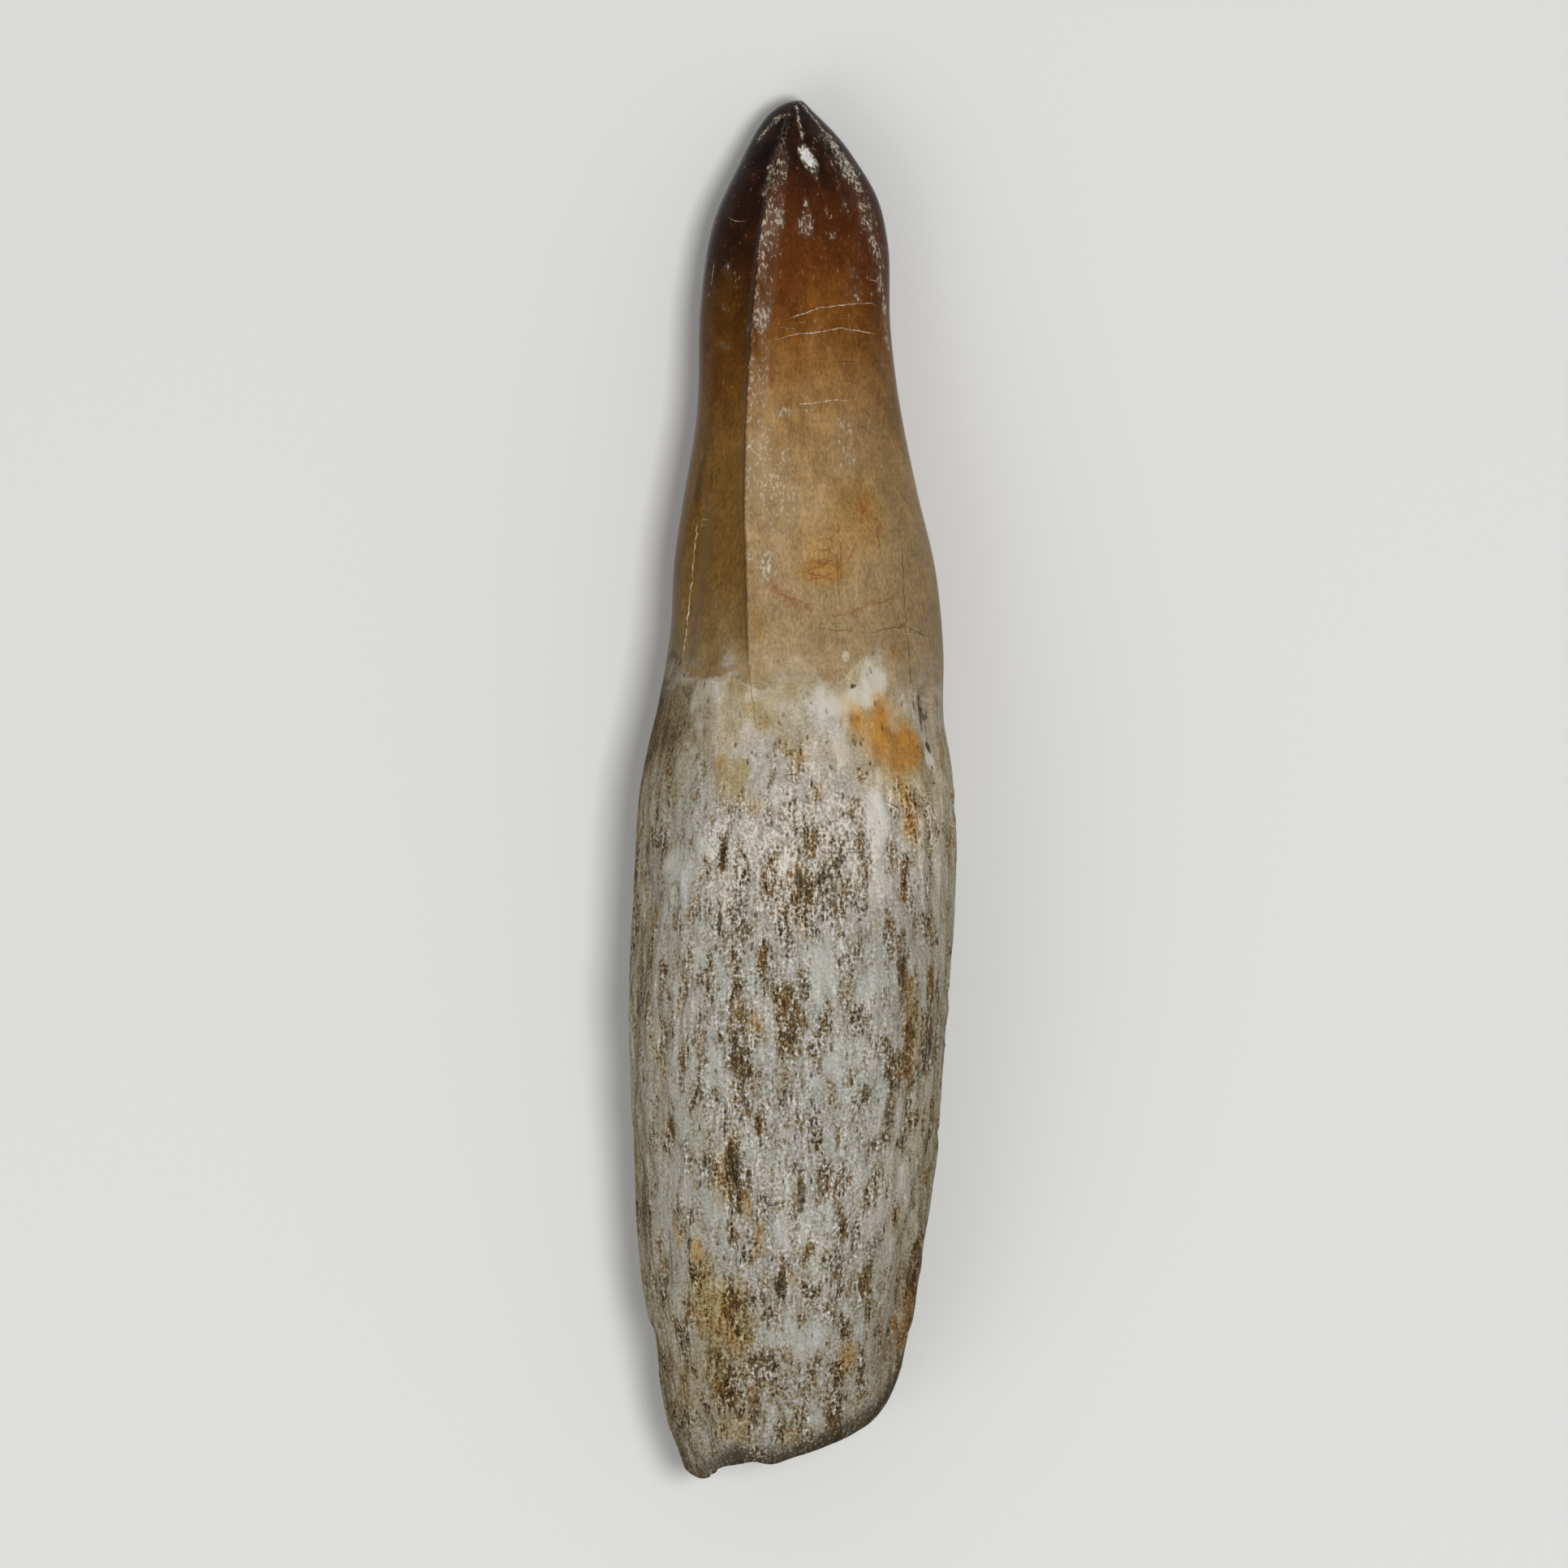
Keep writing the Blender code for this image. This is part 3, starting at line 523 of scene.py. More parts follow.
def tooth_places(ring, angle):
    """The tooth's points in millimetres, on rings from 0 at the tip to the last at the break's middle.

    A ring's distance from the tip is the square root of its share squared plus a rounding squared, so the
    rings crowd at the tip. Returns the points, their places on the bare surface before any relief, their
    distances, how much of a hollow each lies in, and how far in from the break's rim it is.
    """
    reach = math.sqrt((BREAK_AT + TIP_ROUNDING) ** 2 - TIP_ROUNDING**2)
    distance = np.hypot(reach * np.minimum(ring / RIM_RING, 1), TIP_ROUNDING) - TIP_ROUNDING
    bare, middles = smooth_tooth(distance, angle)
    outward = bare - middles
    outward /= np.maximum(np.linalg.norm(outward, axis=1, keepdims=True), LEAST)
    points = bare + outward * broad_relief(bare, distance, angle)[:, None]
    # Where the relief moves the rim across, it slides along too and stays on the break.
    slide = break_distance(points[:, 0], points[:, 2]) - break_distance(bare[:, 0], bare[:, 2])
    points[:, 1] -= slide * eased(distance, BREAK_AT - BREAK_ROUNDING[1], BREAK_AT)
    points[:, 2] = np.maximum(points[:, 2], 0)
    cut, hollow = fine_relief(points, distance, angle)
    points -= outward * cut[:, None]

    inward = np.clip((ring - RIM_RING) / (LAST_RING - RIM_RING), 0, 1)
    points += (points[ring == RIM_RING].mean(axis=0) - points) * inward[:, None]
    face = TIP_Y - break_distance(points[:, 0], points[:, 2]) + broken_end(points, inward)
    points[:, 1] = np.where(ring > RIM_RING, face, points[:, 1])
    return points, bare, distance, hollow, inward


def oval_field(points, middles, marks):
    """The strongest of some oval marks at each point: its strength times 1 less the square of its reach.

    It goes below 0 outside the ovals, as far as -1, so that rough edges can reach past them.
    """
    field = np.full(len(points), -1.0)
    for middle, (half_width, half_length, strength, slant) in zip(middles, marks):
        across, back, up = (points - middle).T
        cosine, sine = math.cos(math.radians(slant)), math.sin(math.radians(slant))
        sideways = np.hypot(across * cosine - back * sine, up)
        reach = np.hypot(sideways / half_width, (across * sine + back * cosine) / half_length)
        field = np.maximum(field, strength * (1 - reach**2))
    return field


def upper_marks(points, marks):
    """The field of the marks that are placed one by one on the upper side. A mark may leave out its slant."""
    across, distance, *rest = np.array([(*mark, 0)[:6] for mark in marks], float).T
    return oval_field(points, seen_from_above(across, distance), np.stack(rest, axis=1))


def unseen_marks(points, on_crown, count, strength, chance):
    """The field of marks strewn over the underside."""
    distance = chance.uniform(*(CROWN_SPAN if on_crown else ROOT_SPAN), count)
    angle = chance.uniform(*UNSEEN_ANGLES, count)
    across, up = section(distance, angle)[:2]
    half_width = chance.uniform(*UNSEEN_HALF_WIDTHS, count)
    longer = chance.uniform(*UNSEEN_STRETCH, count)
    slant = chance.uniform(*UNSEEN_SLANTS, count)
    strengths = strength * chance.uniform(*UNSEEN_SHARES, count)
    marks = np.stack([half_width, half_width * longer, strengths, slant], axis=1)
    return oval_field(points, points_at(across, distance, up), marks)


def line_marks(points, lines):
    """The strongest of some worn or stained lines at each point, falling evenly from the line to -1."""
    fields = [strength * (1 - distance_to(points, path) / wide) for path, wide, strength in lines]
    return np.maximum(np.max(fields, axis=0), -1)


def crack_field(points, upper, paths):
    """Each point's offset to the left of the nearest crack, seen from above, and the crack's strength."""
    offset, strength = np.full(len(points), FAR), np.zeros(len(points))
    seen = np.stack([points[:, 0], TIP_Y - points[:, 1]], axis=1)
    for path in paths:
        corners = corners_of(path)
        parts = np.diff(corners, axis=0)
        lengths = np.linalg.norm(parts, axis=1)
        starts = np.append(0, np.cumsum(lengths))
        for k, (corner, part, length) in enumerate(zip(corners, parts, lengths)):
            ahead = (seen - corner) @ part / length
            gap = seen - corner - (np.clip(ahead, 0, length) / length)[:, None] * part
            own = np.sign(part[0] * gap[:, 1] - part[1] * gap[:, 0]) * np.linalg.norm(gap, axis=1)
            first, last = k == 0, k == len(parts) - 1
            run = starts[k] + np.clip(ahead, -FAR * first, length + FAR * last)
            fade = eased(np.minimum(run, starts[-1] - run), 0, CRACK_TAPER)
            reach = eased(-np.abs(own), -CRACK_REACH[1], -CRACK_REACH[0])
            nearer = np.abs(own) < np.abs(offset)
            offset = np.where(nearer, own, offset)
            strength = np.where(nearer, fade * reach, strength)
    return np.stack([offset, strength * upper, np.zeros(len(points))], axis=1)


def surface_fields(points, bare, distance, angle, hollow, inward):
    """Everything that the finishes need to know of a place on the tooth, in numbers and in crack fields."""
    own_distance = TIP_Y - points[:, 1]
    above = eased(np.sin(angle), *UPPER_SIDE)
    edge_across, edge_distance = np.array(ENAMEL_EDGE).T
    seen_end = curve(edge_across, edge_distance, points[:, 0])
    enamel_end = above * seen_end + (1 - above) * (ENAMEL_END + enamel_wander(points))
    notch_across, notch_width, notch_height = COLLAR_NOTCH
    notch = notch_height * above * eased(-np.abs(points[:, 0] - notch_across), -notch_width, 0)
    fields = {name: upper_marks(bare, marks) for name, marks in MARKS.items()}
    fields |= {
        "enamel": enamel_end - own_distance,
        "keel": keel_offset(distance, angle),
        "hollow": hollow,
        "inward": inward,
        "to_break": break_distance(points[:, 0], points[:, 2]) - own_distance,
        "margin": np.abs(np.cos(angle)) ** MARGIN_POWER * (1 - MARGIN_UNDERNEATH * (np.sin(angle) < 0)),
        "collar": 1 - eased(own_distance + notch, *COLLAR),
        "rust_lines": line_marks(bare, RUST_LINES),
        "flecks": np.maximum(fields["flecks"], line_marks(bare, FLECK_LINES)),
    }
    chance = np.random.default_rng(UNSEEN_SEED)
    for name, count, strength in UNSEEN_MARKS:
        unseen = unseen_marks(bare, name == "flecks", count, strength, chance)
        fields[name] = np.maximum(fields[name], unseen)
    upper = np.sin(angle) > CRACKED_SIDE
    return fields, {name: crack_field(points, upper, paths) for name, paths in CRACKS.items()}


def tooth_faces():
    """The grid's faces, which face outwards: a fan at each pole, and squares between neighbouring rings."""
    column = np.arange(SEGMENTS)
    after = (column + 1) % SEGMENTS
    last = 1 + (LAST_RING - 1) * SEGMENTS
    tip = np.stack([np.zeros_like(column), 1 + after, 1 + column], axis=1)
    middle = np.stack([np.full_like(column, last), last - SEGMENTS + column, last - SEGMENTS + after], axis=1)
    start = 1 + SEGMENTS * np.arange(LAST_RING - 2)[:, None]
    sides = (start + column, start + after, start + SEGMENTS + after, start + SEGMENTS + column)
    return tip.tolist() + np.stack(sides, axis=2).reshape(-1, 4).tolist() + middle.tolist()


def add_object(name, data):
    """A new object at the origin."""
    made = bpy.data.objects.new(name, data)
    bpy.context.scene.collection.objects.link(made)
    return made


def make_tooth(outer, broken):
    """The tooth's surface as a function of ring and angle, with its fields as attributes."""
    rings = np.repeat(np.arange(1, LAST_RING), SEGMENTS)
    columns = np.tile(np.arange(SEGMENTS), LAST_RING - 1)
    ring = np.concatenate([[0], rings, [LAST_RING]])
    angle = np.concatenate([[0], columns * math.tau / SEGMENTS - math.pi, [0]])
    points, bare, distance, hollow, inward = tooth_places(ring, angle)
    mesh = bpy.data.meshes.new("fossil_tooth")
    mesh.from_pydata((points * MM).tolist(), [], tooth_faces())
    fields, cracks = surface_fields(points, bare, distance, angle, hollow, inward)
    for name, values in fields.items():
        mesh.attributes.new(name, "FLOAT", "POINT").data.foreach_set("value", values.astype(np.float32))
    for name, values in cracks.items():
        made = mesh.attributes.new(name, "FLOAT_VECTOR", "POINT")
        made.data.foreach_set("vector", values.astype(np.float32).ravel())
    mesh.materials.append(outer)
    mesh.materials.append(broken)
    on_break = np.arange(len(mesh.polygons)) >= SEGMENTS * RIM_RING
    mesh.polygons.foreach_set("material_index", on_break.astype(np.int32))
    mesh.shade_smooth()
    return add_object("fossil_tooth", mesh)


# How far a seed of 1 moves the finishes' noise along each axis.
SEED_MOVES = (7.3, 3.1, 5.7)


class Value:
    """What a node puts out. Sums and products of values are nodes in the same tree."""

    def __init__(self, socket):
        self.socket = socket

    def __add__(self, other):
        return maths("ADD", self, other)

    def __sub__(self, other):
        return maths("SUBTRACT", self, other)

    def __rsub__(self, other):
        return maths("SUBTRACT", other, self)

    def __mul__(self, other):
        return maths("MULTIPLY", self, other)

    def __truediv__(self, other):
        return maths("DIVIDE", self, other)

    __rmul__ = __mul__


def connect(socket, value):
    """Join a socket to a value, or give it a fixed number or colour."""
    if isinstance(value, Value):
        socket.id_data.links.new(value.socket, socket)
    else:
        socket.default_value = value


def node(kind, inputs, output=0, tree=None, **settings):
    """One output of a new node, which goes into the tree of its first input that is a value."""
    tree = tree or next(value.socket.id_data for value in inputs.values() if isinstance(value, Value))
    made = tree.nodes.new("ShaderNode" + kind)
    for name, setting in settings.items():
        setattr(made, name, setting)
    for name, value in inputs.items():
        connect(made.inputs[name], value)
    return Value(made.outputs[output])


def maths(operation, *values, clamp=False):
    """A sum or another operation on numbers."""
    return node("Math", dict(enumerate(values)), operation=operation, use_clamp=clamp)


def vectors(operation, *values):
    """An operation on places or colours."""
    return node("VectorMath", dict(enumerate(values)), operation=operation)


def axis(vector, name):
    """One of a vector's three numbers, by the axis's name."""
    return node("SeparateXYZ", {0: vector}, name)


def attribute(places, name, output="Fac"):
    """One of the fields that the piece's points hold."""
    return node("Attribute", {}, output, places.socket.id_data, attribute_name=name)


def step(value, low, high, top=1.0):
    """0 below low, top above high, and a smooth step between."""
    inputs = {"Value": value, "From Min": low, "From Max": high, "To Max": top}
    return node("MapRange", inputs, interpolation_type="SMOOTHSTEP")


def mix(share, below, above):
    """A colour that changes from below to above with the share."""
    return node("Mix", {0: share, 6: below, 7: above}, 2, data_type="RGBA")


def tinted(share, colour, tint):
    """A colour that takes a tint where the share is 1, and keeps its own light and dark."""
    return mix(share, colour, vectors("MULTIPLY", colour, tint))


def shade(colour, value, strength):
    """A colour made darker or lighter by a value from 0 to 1, whose middle leaves it as it is."""
    return vectors("MULTIPLY", colour, strength * value + (1 - strength / 2))


def noise(places, width, length, seed, detail=3.0):
    """Noise from 0 to 1, in waves of a width and, along the tooth, a length, in millimetres."""
    scaling = (1 / width, 1 / length, 1 / width)
    scaled = vectors("MULTIPLY_ADD", places, scaling, [seed * move for move in SEED_MOVES])
    return node("TexNoise", {"Vector": scaled, "Scale": 1.0, "Detail": detail})


def drawn_out(places, width, length):
    """Places divided by a width and, along the tooth, a length."""
    return vectors("DIVIDE", places, node("CombineXYZ", {0: width, 1: length, 2: width}))


def effect_group(name, inputs, build):
    """A node group with places and some numbers as inputs and a mask, which the build function works out."""
    group = bpy.data.node_groups.new(name, "ShaderNodeTree")
    group.interface.new_socket("Places", in_out="INPUT", socket_type="NodeSocketVector")
    for label in inputs:
        group.interface.new_socket(label, in_out="INPUT", socket_type="NodeSocketFloat")
    group.interface.new_socket("Mask", in_out="OUTPUT", socket_type="NodeSocketFloat")
    entry = group.nodes.new("NodeGroupInput")
    mask = build(*(Value(socket) for socket in entry.outputs[: len(inputs) + 1]))
    connect(group.nodes.new("NodeGroupOutput").inputs["Mask"], mask)
    return group


def build_streaks(places, width, length, seed):
    """Soft streaks from 0 to 1: detailed noise that is drawn out along the tooth."""
    moved = vectors("ADD", drawn_out(places, width, length), seed)
    return node("TexNoise", {"Vector": moved, "Scale": 1.0, "Detail": 3.0, "Roughness": 0.55})


def build_pores(places, width, length, share):
    """Small oval holes: cells that are drawn out along the tooth, with a hole in a share of them."""
    drawn = drawn_out(places, width, length)
    bend = node("TexNoise", {"Vector": drawn, "Scale": 1.7, "Detail": 1.0}, "Color")
    cells = {"Vector": vectors("MULTIPLY_ADD", bend, (0.7, 0.7, 0.7), drawn), "Scale": 1.0}
    chance = node("SeparateColor", {0: node("TexVoronoi", cells, "Color")})
    return step(share - chance, 0.0, 0.08) * step(node("TexVoronoi", cells), 0.42, 0.20)


def build_ragged(places, field, size, raggedness, softness):
    """A patch with a ragged edge and gaps: where a mark's field and strong noise together are over 0."""
    sized = vectors("DIVIDE", vectors("MULTIPLY", places, (1, 0.6, 1)), size)
    shake = node("TexNoise", {"Vector": sized, "Scale": 1.0, "Detail": 5.0, "Roughness": 0.62})
    return step((shake - 0.5) * raggedness + field, 0.0, softness)


STREAKS = effect_group("streaks", ("Width", "Length", "Seed"), build_streaks)
HOLES = effect_group("pores", ("Width", "Length", "Share"), build_pores)
RAGGED = effect_group("ragged_patch", ("Field", "Size", "Raggedness", "Softness"), build_ragged)


def effect(group, *values):
    """An effect's mask, from its inputs in their order."""
    return node("Group", dict(enumerate(values)), node_tree=group)


def ragged(places, name, size, raggedness=2.4, softness=0.5):
    """The ragged patches of one of the piece's fields."""
    return effect(RAGGED, places, attribute(places, name), size, raggedness, softness)


def crack_line(places, name, width):
    """A fine line where a crack's offset, with a small wobble, is near 0."""
    field = attribute(places, name, "Vector")
    wobble = noise(places, 0.7, 0.7, 11) - 0.5
    gap = maths("ABSOLUTE", 0.35 * wobble + axis(field, "X"))
    gaps = step(noise(places, 1.1, 1.1, 12, 4.0), 0.26, 0.48)
    return step(gap, width, width / 3) * axis(field, "Y") * gaps


def srgb(red, green, blue):
    """A colour for a shader, from its red, green and blue out of 255 as a screen shows them."""
    shown = np.array([red, green, blue]) / 255
    linear = np.where(shown <= 0.04045, shown / 12.92, ((shown + 0.055) / 1.055) ** 2.4)
    return (*linear.tolist(), 1.0)


def tone_run(tone, tones):
    """The colour for each tone, on a run of colours over the tones from the first to the last."""
    length = tones[-1][0]
    made = tone.socket.id_data.nodes.new("ShaderNodeValToRGB")
    run = made.color_ramp.elements
    for at, colour in tones[1:-1]:
        run.new(at / length).color = srgb(*colour)
    run[0].color, run[-1].color = srgb(*tones[0][1]), srgb(*tones[-1][1])
    connect(made.inputs["Fac"], tone / length)
    return Value(made.outputs["Color"])


# The enamel's colour at distances from the tip, on the broad right face and on the darker left facet.
# The facet's colours are darker partly as painted shade, since it faces away from the light.
ENAMEL_COLOURS = (
    (0, (16, 9, 8)), (3.5, (42, 20, 8)), (6, (68, 32, 9)), (9, (80, 39, 10)), (13, (98, 52, 14)),
    (17.2, (117, 71, 22)), (21.6, (136, 96, 50)), (27, (153, 121, 77)), (32, (166, 137, 95)),
    (40.7, (154, 129, 92)), (45, (158, 133, 100)),
)
FACET_COLOURS_WITH_SHADE = (
    (0, (14, 8, 7)), (5, (26, 10, 7)), (9, (38, 16, 4)), (13, (52, 25, 2)), (20.3, (91, 56, 11)),
    (27, (108, 76, 30)), (35.7, (109, 80, 36)), (42, (123, 99, 61)), (45, (131, 107, 74)),
)
DEEP_ENAMEL = srgb(72, 36, 12)
WORN_ENAMEL_AND_SHEEN = srgb(196, 182, 160)
BRIGHT_WEAR_AND_HIGHLIGHT = srgb(228, 224, 220)
PALE_WEAR = srgb(210, 192, 164)
VEIN_RUST = srgb(130, 74, 36)
CRACK_MINERAL = srgb(222, 210, 186)
CRACK_SHADOW = srgb(56, 32, 16)
ORANGE_RUST = srgb(184, 128, 46)
RED_RUST = srgb(146, 98, 42)
BROWN_RUST = srgb(160, 132, 82)
OLIVE_STAIN = srgb(146, 130, 78)
ENAMEL_SHINE = 0.12

# The root bone's colours, from a dark pore at 0 to the whitest bone at 1, and what tints or covers them.
# The palest tones, which the dashes reach in dense patches, are partly painted glints on lit pit rims.
BONE_TONES = (
    (0.0, (52, 42, 29)), (0.20, (88, 75, 51)), (0.38, (124, 112, 88)), (0.52, (145, 140, 125)),
    (0.68, (161, 159, 151)), (0.84, (184, 182, 177)), (1.0, (220, 217, 208)),
)
BEIGE_TINT = (1.0, 0.945, 0.83)
GOLD_TINT = (1.0, 0.83, 0.56)
RUST_TINT = (1.04, 0.72, 0.34)
PIT_TINT = (1.10, 0.86, 0.58)
CREAM_TINT = (1.04, 0.98, 0.91)
COLLAR_TINT = (1.0, 0.88, 0.66)
GOLDEN_TINT = (1.0, 0.86, 0.52)
SHADE_TINT = (0.52, 0.50, 0.40)
DIRT_TINT = (0.84, 0.75, 0.58)
SOIL_GREY = srgb(112, 103, 84)
SOIL_OCHRE = srgb(140, 111, 68)
SOIL_DEEP = srgb(70, 58, 38)
PORE_DARK = srgb(50, 39, 27)
COLLAR_CRUST = srgb(206, 200, 184)
PALE_CRUST = srgb(212, 210, 203)
# Dirt and painted shade on the rim, where the root's edge rolls down into the break.
RIM_DIRT_AND_SHADE = srgb(58, 51, 34)
BREAK_BONE = srgb(122, 106, 80)
BREAK_DENTINE = srgb(108, 86, 58)
BREAK_FILLING = srgb(150, 134, 104)


def rust_stain(places, colour, golden, amount, smooth):
    """Rust with a golden halo, which tints what it lies on, and where it is thick and smooth covers it."""
    field = attribute(places, "rust")
    colour = tinted(step(field, -0.5, 0.9) * golden, colour, GOLDEN_TINT)
    mask = effect(RAGGED, places, field, 1.3, 2.6, 1.9)
    cover = mix(step(effect(STREAKS, places, 0.8, 1.2, 4.0), 0.40, 0.72), ORANGE_RUST, RED_RUST)
    cover = mix(step(mask, 0.8, 0.1), cover, BROWN_RUST)
    cover = shade(cover, effect(STREAKS, places, 0.24, 0.34, 8.0), 1.2)
    stained = tinted(mask * amount, colour, RUST_TINT)
    return mix(mask * smooth * step(field, 0.0, 1.5, 0.9) * amount, stained, cover)


def enamel_finish(places, distance):
    """Glossy brown enamel: colour, roughness and height in millimetres.

    The colour runs from black at the tip to tan, darker on the left facet partly as painted shade, and darker
    towards the sides as painted shade, with fine streaks, growth lines across, worn pale flecks, painted
    sheen and highlights among them, rust stains and cracks.
    """
    cloud = noise(places, 4, 8, 1)
    growth = noise(places, 3.5, 0.35, 2, 2.0)
    mottle = noise(places, 1.1, 1.6, 3, 5.0)
    streaks = effect(STREAKS, places, 0.5, 12.0, 1.0)
    grit = effect(STREAKS, places, 0.19, 0.42, 5.0)
    keel = attribute(places, "keel")
    warped = distance + 9 * cloud + 4 * mottle - 6.5
    colour = mix(step(keel, 0.12, -0.12), tone_run(warped, ENAMEL_COLOURS), tone_run(warped, FACET_COLOURS_WITH_SHADE))
    for tone, strength in ((streaks, 0.5), (growth, 0.22), (mottle, 0.7), (cloud, 0.5), (grit, 1.35)):
        colour = shade(colour, tone, strength)
    # Painted shade: the enamel is darker towards the tooth's sides.
    colour = vectors("MULTIPLY", colour, 1 - 0.35 * attribute(places, "margin"))
    colour = mix(step(mottle, 0.44, 0.80) * step(distance, 16, 4, 0.5), colour, DEEP_ENAMEL)
    colour = mix(0.6 * ragged(places, "olive", 2.0, softness=1.0), colour, OLIVE_STAIN)
    colour = rust_stain(places, colour, 0.75, 0.5, 0.0)
    colour = mix(0.55 * ragged(places, "rust_lines", 0.45, softness=1.5), colour, VEIN_RUST)
    colour = mix(0.65 * crack_line(places, "vein", 0.09), colour, VEIN_RUST)
    # Painted shade: the dirt field's mark on the left facet darkens the enamel as the shadow where the facet
    # turns under.
    colour = tinted(step(attribute(places, "dirt_and_shade"), -0.2, 1.2, 0.8), colour, SHADE_TINT)

    flecks = ragged(places, "flecks", 0.9, softness=1.2)
    patchy = step(noise(places, 1.5, 3.5, 9), 0.30, 0.60)
    along_keel = crest_band(keel, distance) * patchy
    strewn = step(mottle, 0.46, 0.62) * step(distance, 44, 6)
    worn = maths("MAXIMUM", maths("MAXIMUM", 0.27 * flecks, 0.19 * along_keel), 0.07 * strewn)
    worn = step(worn + grit, 0.68, 0.80)
    solid = step(3 * grit + attribute(places, "flecks"), 2.75, 3.4)
    # Worn pale flecks and painted sheen, over the flecks and along the keel's right side.
    colour = mix(0.08 * flecks + 0.08 * along_keel, colour, WORN_ENAMEL_AND_SHEEN)
    colour = mix(worn * (0.32 * step(distance, 24, 8) + 0.38), colour, WORN_ENAMEL_AND_SHEEN)
    # Solid pale flecks: near the tip white mineral, with the painted highlight of the bright patch.
    colour = mix(solid, colour, mix(step(distance, 12, 20), BRIGHT_WEAR_AND_HIGHLIGHT, PALE_WEAR))
    colour = mix(0.4 * crest_shadow(keel, distance), colour, CRACK_SHADOW)
    colour = mix(crest_beads(keel, distance, grit) * patchy, colour, WORN_ENAMEL_AND_SHEEN)

    white_cracks = crack_line(places, "white_crack", 0.045)
    dark_cracks = crack_line(places, "dark_crack", 0.05)
    colour = mix(white_cracks * (0.65 * step(grit, 0.40, 0.58) + 0.30), colour, CRACK_MINERAL)
    colour = mix(0.35 * dark_cracks, colour, CRACK_SHADOW)
    rough = 0.25 * worn + 0.10 * flecks + 0.14 * mottle + 0.08 * grit + 0.16 * step(distance, 12, 40) + 0.14
    height = 0.030 * streaks + 0.010 * grit + 0.008 * growth + 0.040 * worn
    return colour, rough, height - 0.03 * white_cracks - 0.05 * dark_cracks


def crest_band(keel, distance):
    """Worn band and painted sheen along a keel's right side, narrow near the tip, which fades at both ends.
    """
    reach = 0.35 * step(distance, 4, 10) + 0.30
    band = step(maths("ABSOLUTE", keel - BEAD_BAND[0]) / reach, 1.0, 0.45)
    return band * step(distance, 2, 6) * step(distance, 37, 28)


def crest_beads(keel, distance, grit):
    """Bright specks on the crest of a keel, from the tip to halfway down the crown."""
    line = step(maths("ABSOLUTE", keel - 0.10), 0.30, 0.04)
    specks = step(0.14 * line + grit, 0.64, 0.74, 0.8)
    return specks * line * step(distance, 1.5, 4) * step(distance, 36, 24)


def crest_shadow(keel, distance):
    """The dark line in the step along the left side of a keel."""
    return step(keel, -0.04, -0.14) * step(keel, -0.40, -0.18) * step(distance, 47, 38)


